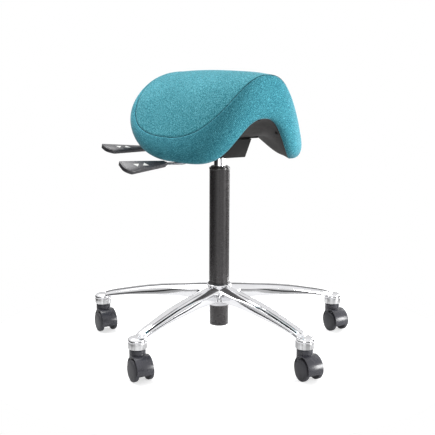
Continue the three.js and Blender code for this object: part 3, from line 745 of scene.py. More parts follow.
class Finishes:
    """Every finish of the stool, made once."""

    def __init__(self) -> None:
        """Builds the materials."""
        plastic, coat, metal = MouldedPlastic, PowderCoat, BrightMetal
        self.cloth_top = HeatherCloth(
            "teal_cloth", srgb(36, 118, 134), srgb(72, 166, 183), srgb(120, 206, 220), spread=0.1).build()
        # The band is the top's teal cloth; its darker, more saturated dark and middle stops are painted shade
        # on the band, which faces down and outwards.
        self.cloth_side = HeatherCloth(
            "teal_band_cloth_painted_shade", srgb(28, 108, 130), srgb(62, 162, 184), srgb(118, 214, 230),
            thread_pitch=0.0024, turn=math.radians(45), spread=0.05, weave_share=0.5, mottle_scale=560.0,
        ).build()
        # Dark cord in the seam's groove: painted shadow of the groove, not a thread.
        self.seam_shade_cord = plastic("painted_seam_shadow", srgb(24, 66, 76), 0.9, 3000, 0.0001, 0.2).build()
        self.shell = plastic("shell_plastic", srgb(48, 44, 43), 0.6, 500, 0.0001, 0.3).build()
        self.black_plastic = plastic("black_plastic", srgb(44, 43, 46), 0.34, 1200, 0.00004).build()
        self.lever_plastic = plastic("lever_plastic", srgb(66, 65, 69), 0.3, 1200, 0.00004, 0.6).build()
        self.caster_plastic = plastic("caster_nylon", srgb(64, 64, 69), 0.45, 900, 0.00005, 0.4).build()
        self.hood_plastic = plastic("hood_nylon", srgb(60, 60, 67), 0.26, 1500, 0.00003, 0.6).build()
        self.rubber = plastic("buffer_rubber", srgb(34, 34, 34), 0.8).build()
        self.mark = plastic("white_mark", srgb(225, 225, 222), 0.5).build()
        self.black_steel = coat("black_coat", srgb(32, 31, 31), 0.45, specular=0.25).build()
        self.column_coat = coat("column_coat", srgb(51, 48, 49), 0.28, 300, 0.00001, 0.7).build()
        self.chrome = metal("chrome_plate", (0.88, 0.88, 0.9), 0.05).build()
        self.polished = metal("polished_casting", (0.9, 0.9, 0.92), 0.07, 0.00001).build()
        self.machined = metal(
            "machined_ring", (0.82, 0.82, 0.83), 0.3, 0.00003, line_scale=(300.0, 300.0, 4.0), smear=0.1,
            tone=0.55, tone_scale=(6.0, 6.0, 0.2)).build()
        self.steel = metal("plain_steel", srgb(176, 178, 182), 0.32, 0.00002).build()
        self.rod_steel = metal("lever_steel", srgb(132, 135, 140), 0.28, 0.00002).build()


# Saddle


@dataclass(frozen=True)
class SaddleForm:
    """The saddle's surfaces, by angle round the outline and share along the surface."""

    centre_ahead: float = 0.0593
    pad_height: float = 0.5259
    crest_height: float = 0.6815
    flank_drop: float = 0.1903
    flank_reach: float = 0.2325
    flank_power: float = 1.25
    front_roll: float = 0.0067
    rear_roll: float = 0.0069
    seam_half_width: float = 0.1737
    seam_front: float = 0.161
    seam_rear: float = 0.2456
    seam_taper: float = 0.5458
    seam_round: tuple[float, float] = (2.332, 2.213)
    hem_half_width: float = 0.1478
    hem_front: float = 0.142
    hem_rear: float = 0.1884
    hem_taper: float = 0.5368
    hem_round: float = 2.331
    arch_power: float = 1.266
    arch_front: float = 0.5773
    arch_rear: float = 0.5658
    side_low: float = 0.474
    side_rise: tuple[float, float] = (-0.0118, 0.0679)
    swell: tuple[float, float, float] = (0.0078, 0.0128, 0.0672)
    tuck: tuple[float, float, float] = (0.0505, 0.0243, 0.0533)
    tuck_drop: float = 0.0062
    shoulder_share: float = 0.224

    @staticmethod
    def power(value: float, exponent: float) -> float:
        """Raises the size of a number to a power and keeps its sign."""
        return math.copysign(abs(value) ** exponent, value)

    @staticmethod
    def swing(share: float) -> float:
        """Eases from 0 to 1 like half a swing of a pendulum."""
        return (1 - math.cos(math.pi * min(abs(share), 1.0))) / 2

    def placed(self, across: float, ahead: float, height: float) -> Vector:
        """Turns across, ahead and height into a point of the stool."""
        return Vector((across, -(ahead + self.centre_ahead), height))

    def top_height(self, across: float, ahead: float) -> float:
        """Gives the height of the seat's upper face.

        Args:
            across: Distance to the side of the middle.
            ahead: Distance to the front of the saddle's centre.

        Returns:
            The height above the floor.
        """
        reach = self.flank_reach * (1 - ahead / self.seam_taper)
        drop = self.flank_drop * self.swing((abs(across) / reach) ** self.flank_power)
        roll = self.front_roll * (ahead / self.seam_front) ** 3 if ahead > 0 else (
            self.rear_roll * (-ahead / self.seam_rear) ** 3)
        return self.crest_height - drop - roll

    def arch_height(self, across_share: float, along_share: float) -> float:
        """Gives the height of the arch under the saddle.

        Args:
            across_share: Share of the way to the side.
            along_share: Share of the way to the front or, below 0, the rear.

        Returns:
            The height above the floor.
        """
        crest = self.arch_rear + (self.arch_front - self.arch_rear) * (1 + along_share) / 2
        rise = self.side_rise[0] if along_share > 0 else self.side_rise[1]
        side = self.side_low + rise * along_share**2
        return crest - (crest - side) * self.swing(abs(across_share) ** self.arch_power)

    def seam_plan(self, angle: float) -> tuple[float, float]:
        """Gives the seam's place across and ahead.

        Args:
            angle: Angle round the outline.

        Returns:
            Distance across and distance ahead.
        """
        along = math.sin(angle)
        exponent = 2 / (self.seam_round[0] if along > 0 else self.seam_round[1])
        ahead = self.power(along, exponent) * (self.seam_front if along > 0 else self.seam_rear)
        across = self.seam_half_width * self.power(math.cos(angle), exponent) * (1 - ahead / self.seam_taper)
        return across, ahead

    def seam_point(self, angle: float, share: float = 1.0) -> Vector:
        """Gives a point of the seat's upper face, with share 1 on the seam.

        Args:
            angle: Angle round the outline.
            share: Share of the way out from the middle.

        Returns:
            The point.
        """
        across, ahead = self.seam_plan(angle)
        across, ahead = across * share, ahead * share
        return self.placed(across, ahead, self.top_height(across, ahead))

    def hem_plan(self, angle: float) -> tuple[float, float, float, float]:
        """Gives the hem's place across and ahead, and its two shares.

        Args:
            angle: Angle round the outline.

        Returns:
            Distance across, distance ahead, and the share of each.
        """
        exponent = 2 / self.hem_round
        across_share = self.power(math.cos(angle), exponent)
        along_share = self.power(math.sin(angle), exponent)
        ahead = along_share * (self.hem_front if along_share > 0 else self.hem_rear)
        across = self.hem_half_width * across_share * (1 - ahead / self.hem_taper)
        return across, ahead, across_share, along_share

    def hem_point(self, angle: float) -> Vector:
        """Gives a point of the hem."""
        across, ahead, across_share, along_share = self.hem_plan(angle)
        return self.placed(across, ahead, self.arch_height(across_share, along_share))

    def mix(self, angle: float, values: tuple[float, float, float]) -> float:
        """Blends a side, a front and a rear value round the outline."""
        along = math.sin(angle) ** 2
        return values[0] * (1 - along) + (values[1] if math.sin(angle) > 0 else values[2]) * along

    def band_point(self, angle: float, share: float) -> Vector:
        """Gives a point of the side band, from the seam at 0 to the hem at 1.

        Args:
            angle: Angle round the outline.
            share: Share along the surface, from 0 to 1.

        Returns:
            The point.
        """
        top, low = self.seam_point(angle), self.hem_point(angle)
        outward = Vector((math.cos(angle), -math.sin(angle), 0))
        shoulder = top + outward * self.mix(angle, self.swell)
        shoulder.z -= self.shoulder_share * (top.z - low.z)
        under = low + outward * self.mix(angle, self.tuck)
        under.z -= self.tuck_drop
        rest = 1 - share
        return (
            top * rest**3 + shoulder * (3 * rest * rest * share)
            + under * (3 * rest * share * share) + low * share**3
        )

    def outward(self, surface: Place, angle: float, share: float) -> Vector:
        """Gives a surface's outward direction at a point.

        Args:
            surface: The surface.
            angle: Angle round the outline.
            share: Share along the surface, from 0 to 1.

        Returns:
            The direction, with a length of 1.
        """
        step = 1e-3
        low, high = max(share - step, 0.0), min(share + step, 1.0)
        along = surface(angle, high) - surface(angle, low)
        around = surface(angle + step, max(share, step)) - surface(angle - step, max(share, step))
        return around.cross(along).normalized()

    def seam_outward(self, angle: float) -> Vector:
        """Gives the direction that halves the corner at the seam.

        Args:
            angle: Angle round the outline.

        Returns:
            The direction, with a length of 1.
        """
        above = self.outward(self.seam_point, angle, 1.0)
        below = self.outward(self.band_point, angle, 0.0)
        return (above + below).normalized()

    def arch_at(self, across: float, ahead: float) -> float:
        """Gives the arch's height over a place in plan."""
        along = within(ahead / (self.hem_front if ahead > 0 else self.hem_rear), -1.0)
        return self.arch_height(across / (self.hem_half_width * (1 - ahead / self.hem_taper)), along)

    def under_point(self, angle: float, share: float, pad: tuple[float, float], edge: float) -> Vector:
        """Gives a point of the shell's underside, from the pad's rim at 0 to the hem at 1.

        Args:
            angle: Angle round the outline.
            share: Share of the way out.
            pad: Half width and half length of the flat pad.
            edge: Share of the hem's size where the shell ends.

        Returns:
            The point.
        """
        across, ahead, _, _ = self.hem_plan(angle)
        pad_across = pad[0] * self.power(math.cos(angle), 0.5)
        pad_ahead = pad[1] * self.power(math.sin(angle), 0.5) - self.centre_ahead
        x = pad_across + (across * edge - pad_across) * share
        y = pad_ahead + (ahead * edge - pad_ahead) * share
        eased = share * share * (3 - 2 * share)
        return self.placed(x, y, self.pad_height + (self.arch_at(x, y) - self.pad_height) * eased)


@dataclass
class Saddle:
    """The padded saddle: top panel, side band, seam and hem over a moulded shell."""

    finishes: Finishes
    form: SaddleForm = field(default_factory=SaddleForm)
    around: int = 192
    top_rows: int = 52
    band_rows: int = 40
    seam_depth: float = 0.0016
    seam_reach: float = 0.005
    hem_radius: float = 0.0024
    puff_limit: float = 0.0012
    puff_pressure: float = 1.5
    puff_frames: int = 12
    puff_reach: float = 0.02
    padding_stiffness: float = 10.0
    padding_inset: float = 0.0015
    padding_lift: float = 0.012
    padding_voxel: float = 0.006
    padding_parts: tuple[float, float, float] = (0.45, 0.35, 0.2)
    corner_reach: float = 0.012
    held_reach: float = 0.03
    roll_from: float = 0.88
    roll_turns: float = 1.15
    crest_length: float = 1.25
    band_size: tuple[float, float] = (1.5, 0.18)
    # The dark cord in the seam's groove is painted shadow; these set its radius and its gap below the groove.
    seam_shade_cord: float = 0.001
    shade_cord_gap: float = 0.0001
    soft_crease: float = 3.2

    def __post_init__(self) -> None:
        """Runs the cloth over the padding first, since both panels lie on it."""
        self.cushion = self.puffed_cushion()

    def angle(self, share: float) -> float:
        """Turns a share round the outline into an angle."""
        return 2 * math.pi * share

    def closed_cushion(self) -> BMesh:
        """Makes the closed padding that the cloth is pulled over.

        Returns:
            The closed body.
        """
        form, (rim, band, under) = self.form, self.padding_parts
        hem = rim + band

        def place(u: float, v: float) -> Vector:
            """Runs over the top, down the band and back under to the middle.

            Args:
                u: Share round the outline.
                v: Share from the crest to the middle of the underside.

            Returns:
                The point.
            """
            angle = self.angle(u)
            if v <= rim:
                return form.seam_point(angle, v / rim) - Vector((0, 0, self.padding_inset))
            if v <= hem:
                share = (v - rim) / band
                out = form.outward(form.band_point, angle, share)
                return form.band_point(angle, share) - out * self.padding_inset
            share = (v - hem) / under
            low = form.hem_point(angle)
            across, ahead = low.x * (1 - share), low.y + (-form.centre_ahead - low.y) * share
            arch = form.arch_at(across, -(ahead + form.centre_ahead))
            return Vector((across, ahead, max(low.z, arch + self.padding_lift * share)))

        return mapped_grid(96, 80, place)

    def puffed_cushion(self) -> BVHTree:
        """Blows the padding up a little under cloth and gives its surface.

        Returns:
            The puffed surface, to lay the panels on.
        """
        scene = bpy.context.scene
        mesh = finished("padding", self.closed_cushion())
        padding = in_scene("padding", mesh)
        remesh = padding.modifiers.new("even", "REMESH")
        remesh.mode, remesh.voxel_size = "VOXEL", self.padding_voxel
        cloth = padding.modifiers.new("pull", "CLOTH").settings
        cloth.use_pressure = True
        cloth.uniform_pressure_force = self.puff_pressure
        cloth.bending_stiffness = self.padding_stiffness
        cloth.effector_weights.gravity = 0.0
        for frame_number in range(1, self.puff_frames + 1):
            scene.frame_set(frame_number)
        tree = BVHTree.FromObject(padding, bpy.context.evaluated_depsgraph_get())
        scene.frame_set(1)
        bpy.data.objects.remove(padding)
        bpy.data.meshes.remove(mesh)
        return tree

    def puffed(self, point: Vector, outward: Vector, hold: float) -> Vector:
        """Moves a point onto the puffed padding.

        Args:
            point: The point on the plain form.
            outward: The form's outward direction there.
            hold: From 0, held by a seam, to 1, free.

        Returns:
            The moved point.
        """
        if self.cushion is None or hold <= 0:
            return point
        reach = self.puff_reach
        hit, _, _, distance = self.cushion.ray_cast(point + outward * reach, -outward, 2 * reach)
        if hit is None:
            return point
        rise = within(reach - distance, -self.puff_limit, self.puff_limit)
        return point + outward * rise * hold

    def dip(self, distance: float) -> float:
        """Gives how deep a panel rolls in at that distance from the seam."""
        rest = max(0.0, 1 - distance / self.seam_reach)
        return self.seam_depth * rest**2.2

    def laid(self, surface: Place, angle: float, share: float, hold: float = 1.0) -> Vector:
        """Gives a point of a panel that lies on the padding and rolls in at the seam.

        Args:
            surface: The form's surface under the panel.
            angle: Angle round the outline.
            share: Share along the surface.
            hold: How free the panel is of its other edge, from 0 to 1.

        Returns:
            The point.
        """
        plain = surface(angle, share)
        distance = (plain - self.form.seam_point(angle)).length
        near = max(0.0, 1 - distance / self.corner_reach)
        outward = self.form.outward(surface, angle, share)
        outward = outward.lerp(self.form.seam_outward(angle), near**2).normalized()
        hold = min(1.0, hold, distance / self.held_reach)
        return self.puffed(plain, outward, hold) - outward * self.dip(distance)

    @staticmethod
    def top_share(v: float) -> float:
        """Sets the top panel's rows closer together towards the seam."""
        return v * (1.55 - 0.55 * v)

    def top_point(self, u: float, v: float) -> Vector:
        """Gives a point of the top panel.

        Args:
            u: Share round the outline.
            v: Share from the crest to the seam.

        Returns:
            The point.
        """
        angle, share = self.angle(u), self.top_share(v)
        if v < 1e-6:
            return self.puffed(self.form.seam_point(angle, share), Vector((0, 0, 1)), 1.0)
        return self.laid(self.form.seam_point, angle, share)

    def band_surface(self, u: float, v: float) -> Vector:
        """Gives a point of the side band, whose last rows roll round the hem.

        Args:
            u: Share round the outline.
            v: Share from the seam to the rolled edge.

        Returns:
            The point.
        """
        form, angle = self.form, self.angle(u)
        hem, radius = form.hem_point(angle), self.hem_radius
        if v <= self.roll_from:
            part = v / self.roll_from
            share = part * (0.5 + part * (1.5 - part))
            free = (hem - form.band_point(angle, share)).length / self.held_reach
            return self.laid(form.band_point, angle, share, free)
        turn = (v - self.roll_from) / (1 - self.roll_from) * math.pi * self.roll_turns
        outward = form.outward(form.band_point, angle, 1.0)
        onward = (form.band_point(angle, 1.0) - form.band_point(angle, 0.995)).normalized()
        return hem + onward * radius * math.sin(turn) - outward * radius * (1 - math.cos(turn))

    def top_unwrap(self, u: float, v: float) -> Vector:
        """Gives the top panel's cloth coordinates, flattened over the crest.

        Args:
            u: Share round the piece.
            v: Share along it.

        Returns:
            The place on the flat cloth.
        """
        across, ahead = self.form.seam_plan(self.angle(u))
        share = self.top_share(v)
        return Vector((across * share * self.crest_length, ahead * share, 0))

    def band_unwrap(self, u: float, v: float) -> Vector:
        """Gives the side band's cloth coordinates, round the seam and down."""
        return Vector((u * self.band_size[0], v * self.band_size[1], 0))

    def seam_path(self) -> list[Vector]:
        """Lists points along the bottom of the seam's groove.

        Returns:
            The points, once round.
        """
        depth = self.seam_depth + self.shade_cord_gap
        angles = [math.pi * step / self.around for step in range(self.around * 2)]
        return [self.form.seam_point(angle) - self.form.seam_outward(angle) * depth for angle in angles]

    def seam_cord(self) -> BMesh:
        """Makes the dark cord that closes the seam's groove, a painted shadow of the groove.

        Returns:
            The closed body.
        """
        path = self.seam_path()
        count = len(path)

        def place(u: float, v: float) -> Vector:
            """Runs round the thread and along the seam.

            Args:
                u: Share round the thread.
                v: Share along the seam.

            Returns:
                The point.
            """
            index = round(v * count) % count
            ahead = (path[(index + 1) % count] - path[index - 1]).normalized()
            out = self.form.seam_outward(math.pi * index / self.around)
            side = ahead.cross(out).normalized()
            angle = 2 * math.pi * u
            return path[index] + (out * math.cos(angle) + side * math.sin(angle)) * self.seam_shade_cord

        return mapped_grid(6, count, place)

    def build(self) -> None:
        """Makes the cover's pieces."""
        f = self.finishes
        top = add_piece(
            "cover_top", mapped_grid(self.around, self.top_rows, self.top_point, self.top_unwrap),
            f.cloth_top, Body.SEAT, "fabric_top", ["cover_top_panel", "foam_pad"], self.soft_crease)
        band = add_piece(
            "cover_band", mapped_grid(self.around, self.band_rows, self.band_surface, self.band_unwrap),
            f.cloth_side, Body.SEAT, "fabric_side", ["cover_side_band"], self.soft_crease)
        # The seam's dark cord is painted shadow in the groove.
        add_piece(
            "cover_seam", self.seam_cord(), f.seam_shade_cord, Body.SEAT, "fabric_side", (), self.soft_crease)


@dataclass
class SaddleShell:
    """The moulded shell under the saddle, with the screws that hold the cover's edge."""

    finishes: Finishes
    form: SaddleForm = field(default_factory=SaddleForm)
    pad: tuple[float, float] = (0.062, 0.088)
    edge_share: float = 0.985
    thickness: float = 0.005
    around: int = 160
    rows: int = 36
    pad_share: float = 0.2
    screw_radius: float = 0.0042
    screw_share: float = 0.86
    screw_angles: tuple[float, ...] = (63, 90, 117, 232, 270, 308)

    def under(self, u: float, v: float) -> Vector:
        """Gives a point of the underside, from the middle of the pad outwards.

        Args:
            u: Share round the outline.
            v: Share from the middle to the hem.

        Returns:
            The point.
        """
        angle, part = 2 * math.pi * u, self.pad_share
        if v < part:
            rim = self.form.under_point(angle, 0.0, self.pad, self.edge_share)
            return Vector((0, 0, self.form.pad_height)).lerp(rim, v / part)
        return self.form.under_point(angle, (v - part) / (1 - part), self.pad, self.edge_share)

    def body(self) -> BMesh:
        """Makes the shell as a closed skin.

        Returns:
            The closed body.
        """

        def place(u: float, v: float) -> Vector:
            """Runs over the underside and back inside it.

            Args:
                u: Share round the outline.
                v: Share from the middle out and back.

            Returns:
                The point.
            """
            if v <= 0.5:
                return self.under(u, v * 2)
            return self.under(u, 2 - v * 2) + Vector((0, 0, self.thickness))

        return mapped_grid(self.around, self.rows * 2, place)

    def screw(self, angle: float) -> BMesh:
        """Makes one pan-head screw with a socket, standing down from the shell's rim.

        Args:
            angle: Angle round the outline where it stands.

        Returns:
            The screw in its place.
        """
        r = self.screw_radius
        bm = turned([
            (0, -0.0012), (r * 0.45, -0.0012), (r * 0.45, -0.0026), (r * 0.8, -0.0024), (r, -0.0012),
            (r, 0.001), (0, 0.001)], 24, 0.0002)
        step = 0.01

        def rim(turn: float, out: float) -> Vector:
            """Gives a point of the underside near the screw."""
            return self.form.under_point(angle + turn, self.screw_share + out, self.pad, self.edge_share)

        point = rim(0.0, 0.0)
        along, around = rim(0.0, step) - point, rim(step, 0.0) - point
        normal = along.cross(around).normalized()
        if normal.z < 0:
            normal = -normal
        return moved(bm, Matrix.Translation(point) @ normal.to_track_quat("Z", "Y").to_matrix().to_4x4())

    def build(self) -> None:
        """Makes the shell's pieces."""
        f = self.finishes
        add_piece("saddle_shell", self.body(), f.shell, Body.SEAT, "shell_plastic", ["seat_shell"], 1.0)
        screws = [self.screw(math.radians(a)) for a in self.screw_angles]
        add_piece("shell_screws", merged(screws), f.shell, Body.SEAT, "shell_plastic")


# Mechanism


@dataclass
class Mechanism:
    """The folded pan under the saddle, its seat plate, bolts and pivot pins."""

    finishes: Finishes
    fold_radius: float = 0.0022
    sheet: float = 0.0025
    bolt_head: float = 0.0072
    plate_setback: float = 0.007
    pan_floor: tuple[float, float] = (-0.0603, 0.094)
    pan_rim: tuple[float, float] = (-0.0897, 0.102)
    rib_ends: tuple[float, float] = (-0.054, 0.074)
    rib_height: float = 0.504
    rib_half: float = 0.004
    pin_height: float = 0.4905
    ear_size: tuple[float, float] = (0.0125, 0.022)
    ear_across: float = 0.02475

    def seat_plate(self) -> BMesh:
        """Makes the seat plate with its rolled edge.

        Returns:
            The closed body.
        """
        low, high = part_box("seat_plate")
        side, front, rear, cut = high[0], low[1], high[1], self.plate_setback
        half = [(side - cut, front), (side, front + cut), (side, rear - cut), (side - cut, rear)]
        outline = half + [(-x, y) for x, y in reversed(half)]
        return plate(outline, low[2], high[2], 0.0008)

    def bolt(self, name: str) -> BMesh:
        """Makes one flanged bolt with a socket head.

        Args:
            name: The bolt's solid.

        Returns:
            The bolt in its place.
        """
        low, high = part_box(name)
        x, y = (low[0] + high[0]) / 2, (low[1] + high[1]) / 2
        head = low[2]
        r = self.bolt_head
        flange = turned([
            (0, head + 0.003), (0.0026, head + 0.003), (0.0026, head), (0.0048, head),
            (0.0052, head + 0.0034), (r, head + 0.0038), (r, head + 0.0052), (0.004, head + 0.0052),
            (0.004, head + 0.02), (0, head + 0.02)], 32, 0.0003)
        return moved(flange, Matrix.Translation((x, y, 0)))

    def pan(self) -> BMesh:
        """Makes the pan from folded sheet, open below.

        Returns:
            The folded pan.
        """
        low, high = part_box("mechanism_pan")
        outline = [(y, low[2]) for y in self.pan_floor] + [(y, high[2]) for y in reversed(self.pan_rim)]
        bm = side_plate(outline, low[0], high[0], 0.0)
        floor = [face for face in bm.faces if face.normal.z < -0.9]
        bmesh.ops.delete(bm, geom=floor, context="FACES_ONLY")
        folds = [e for e in bm.edges if len(e.link_faces) == 2]
        bevelled(bm, folds, self.fold_radius, 3)
        bmesh.ops.solidify(bm, geom=bm.faces, thickness=self.sheet)
        bmesh.ops.recalc_face_normals(bm, faces=bm.faces)
        return bm

    def rib(self, side: int) -> BMesh:
        """Makes a pressed rib on one side wall of the pan.

        Args:
            side: -1 for the left, 1 for the right.

        Returns:
            The rib in its place.
        """
        x, (front, rear) = side * 0.038, self.rib_ends
        z, half = self.rib_height, self.rib_half
        outline = [
            (front + half, z - half), (rear - half, z - half), (rear, z), (rear - half, z + half),
            (front + half, z + half), (front, z)]
        low, high = sorted((x, x + side * 0.0008))
        return side_plate(outline, low, high, 0.0003)

    def pin(self, side: int) -> BMesh:
        """Makes one pivot pin with its chamfered head and collar.

        Args:
            side: -1 for the left, 1 for the right.

        Returns:
            The pin in its place.
        """
        start, end = 0.023, 0.0423
        bm = turned([
            (0, start), (0.005, start), (0.005, 0.0313), (0.009, 0.0313), (0.009, 0.0352), (0.005, 0.0352),
            (0.005, 0.0383), (0.009, 0.0383), (0.009, end - 0.001), (0.008, end), (0.0035, end),
            (0.003, end - 0.0012), (0, end - 0.0012)], 40, 0.0003)
        return facing_side(bm, Vector((0, 0, self.pin_height)), side)

    def socket(self) -> BMesh:
        """Makes the clamp that grips the gas lift's neck and carries the pins.

        Returns:
            The clamp with its two ears.
        """
        low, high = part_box("lift_socket")
        ring = turned(ring_profile(
            [(0.0143, low[2]), (0.021, low[2]), (0.021, high[2]), (0.0135, high[2])]), 56, 0.0006)
        ears = []
        for side in (-1, 1):
            ear = bmesh.new()
            bmesh.ops.create_cube(ear, size=1.0)
            bmesh.ops.scale(ear, verts=ear.verts, vec=(*self.ear_size, high[2] - low[2]))
            moved(ear, Matrix.Translation((side * self.ear_across, 0, (low[2] + high[2]) / 2)))
            ears.append(round_over(ear, 0.0012, 3))
        return merged([ring, *ears])

    def build(self) -> None:
        """Makes the mechanism's pieces."""
        f = self.finishes
        add_piece("saddle_plate", self.seat_plate(), f.black_steel, Body.SEAT, "black_steel", ["seat_plate"])
        add_piece("tilt_pan", self.pan(), f.black_steel, Body.SEAT, "black_steel", ["mechanism_pan"], 0.9)
        names = [f"seat_bolt_{i}" for i in range(1, 5)]
        add_piece("saddle_bolts", merged([self.bolt(n) for n in names]), f.steel, Body.SEAT, "steel", names)
        add_piece("pan_ribs", merged([self.rib(-1), self.rib(1)]), f.black_steel, Body.SEAT, "black_steel")
        add_piece(
            "pivot_pins", merged([self.pin(-1), self.pin(1)]), f.steel, Body.SEAT, "steel",
            ["pivot_pin_left", "pivot_pin_right"])
        add_piece("neck_clamp", self.socket(), f.steel, Body.LIFT_STAGE, "steel", ["lift_socket"])
        dress_node("tilt_quadrant", f.steel)


@dataclass
class Lever:
    """One side lever: a rod in the pan with a wedge paddle outside."""

    finishes: Finishes
    name: str
    body: Body
    path: list[Vector]
    start: Vector
    rise: float
    roll: float
    rod_radius: float = 0.003
    length: float = 0.114
    inner_width: float = 0.0075
    outer_width: float = 0.04
    rear_edge: float = 0.006
    thickness: float = 0.011
    pad_height: float = 0.0006
    edge_drop: float = 0.0025
    bar_reach: float = 0.0615
    corner_length: float = 0.017
    corner_points: int = 7

    def frame_matrix(self) -> Matrix:
        """Gives the paddle's own frame: X along it, Y to its free edge, Z up.

        Returns:
            The matrix from the paddle's frame to the stool's.
        """
        place = Matrix.Translation(self.start)
        for turn, axis in ((math.pi, "Z"), (-self.rise, "Y"), (-self.roll, "X")):
            place = place @ Matrix.Rotation(turn, 4, axis)
        return place

    def outline(self, inset: float, first: float, last: float) -> Pairs:
        """Lists the paddle's outline, drawn in by an inset, from one length to another.

        Args:
            inset: How far the outline is drawn in.
            first: Where it starts.
            last: Where it ends.

        Returns:
            The corners in order.
        """

        def edge(x: float) -> float:
            """Gives the free edge's distance from the rod at a length."""
            share = x / (self.length - 0.012)
            return self.inner_width + (self.outer_width - self.inner_width) * min(1.0, share)

        points = [(first + inset, -self.rear_edge + inset), (last - inset, -self.rear_edge + inset)]
        corner = self.length - self.corner_length
        if last > corner:
            end, width, steps = last - inset, self.outer_width, self.corner_points - 1
            free = Vector((corner, width - inset - 0.001))
            bends = (Vector((end, width * 0.3)), Vector((end, width * 0.75)), free)
            points += [tuple(curve(bends, step / steps)) for step in range(self.corner_points)]
        else:
            points.append((last - inset, edge(last) - inset))
        points.append((first + inset, edge(first) - inset))
        return points

    def sloped(self, bm: BMesh, above: float = -math.inf) -> None:
        """Lets what lies above a height fall away towards the free edge.

        Args:
            bm: The mesh.
            above: What lies lower stays.
        """
        for vert in bm.verts:
            if vert.co.z > above:
                vert.co.z -= self.edge_drop * max(0.0, vert.co.y / self.outer_width)

    def paddle(self) -> BMesh:
        """Makes the wedge paddle with bevelled edges and a raised upper panel.

        Returns:
            The paddle in its place.
        """
        half = self.thickness / 2
        wedge = plate(self.outline(0.0, 0.0, self.length), -half, half, 0.0)
        self.sloped(wedge, 0.0)
        round_over(wedge, 0.0014, 3, 0.5)
        panel = plate(self.outline(0.0034, 0.012, self.length), half - 0.001, half + self.pad_height, 0.0)
        self.sloped(panel)
        round_over(panel, 0.0004, 2, 0.5)
        sleeve = turned([
            (0, -0.004), (0.0046, -0.004), (0.0052, -0.003), (0.0056, 0.01), (0.005, 0.012), (0, 0.012),
        ], 28, 0.0003)
        facing_side(sleeve, Vector(), 1)
        return moved(merged([wedge, panel, sleeve]), self.frame_matrix())

    def arrow(self, turned_over: bool) -> BMesh:
        """Makes a small arrow mark that lies on the paddle.

        Args:
            turned_over: Whether it points back to the rod.

        Returns:
            The arrow in its place.
        """
        sign = -1 if turned_over else 1
        x, y = (0.056, 0.0155) if turned_over else (0.078, 0.0085)
        points = [(x - 0.0075, y), (x + 0.0075, y), (x, y + sign * 0.0115)]
        if turned_over:
            points.reverse()
        top = self.thickness / 2 + self.pad_height
        bm = plate(points, top - 0.0008, top + 0.00012, 0.0)
        self.sloped(bm)
        return moved(bm, self.frame_matrix())

    def build(self) -> None:
        """Makes the lever's pieces."""
        f = self.finishes
        rod = rod_along(smooth_path(self.path, 0.014 if len(self.path) > 3 else 0.006), self.rod_radius)
        add_piece(f"{self.name}_bar", rod, f.rod_steel, self.body, "steel", [f"{self.name}_rod"])
        add_piece(f"{self.name}_grip", self.paddle(), f.lever_plastic, self.body, "black_plastic",
                  [f"{self.name}_paddle"], 0.6)
        marks = merged([self.arrow(False), self.arrow(True)])
        add_piece(f"{self.name}_marks", marks, f.mark, self.body, "black_plastic")


class Levers:
    """The lift lever and the tilt lever."""

    def __init__(self, finishes: Finishes) -> None:
        """Sets out both levers.

        Args:
            finishes: The stool's finishes.
        """
        self.finishes = finishes
        rise = math.radians(2.4)
        run_in, turn_at = Vector((0.0425, -0.027, 0.5105)), Vector((-0.104, -0.027, 0.4634))
        end = Vector((-0.161, turn_at.y, turn_at.z + 0.057 * math.tan(rise)))
        tip = end + self.outwards(rise) * Lever.bar_reach
        lift = [run_in, Vector((-0.06, run_in.y, run_in.z)), turn_at, tip]
        self.lift = Lever(finishes, "lift_lever", Body.LIFT_LEVER, lift, end, rise, math.radians(23))
        rise, bend = math.radians(4.8), Vector((-0.149, 0.08, 0.4905))
        end = bend + self.outwards(rise) * 0.012
        tilt = [Vector((0.0425, bend.y, bend.z)), bend, end + self.outwards(rise) * Lever.bar_reach]
        self.tilt = Lever(finishes, "tilt_lever", Body.TILT_LEVER, tilt, end, rise, math.radians(12))

    @staticmethod
    def outwards(rise: float) -> Vector:
        """Gives the direction to the left that climbs by an angle."""
        return Vector((-math.cos(rise), 0, math.sin(rise)))

    def build(self) -> None:
        """Makes both levers and dresses their inner ends."""
        self.lift.build()
        self.tilt.build()
        dress_node("lift_finger", self.finishes.steel)
        dress_node("tilt_pawl", self.finishes.steel)


# Gas lift


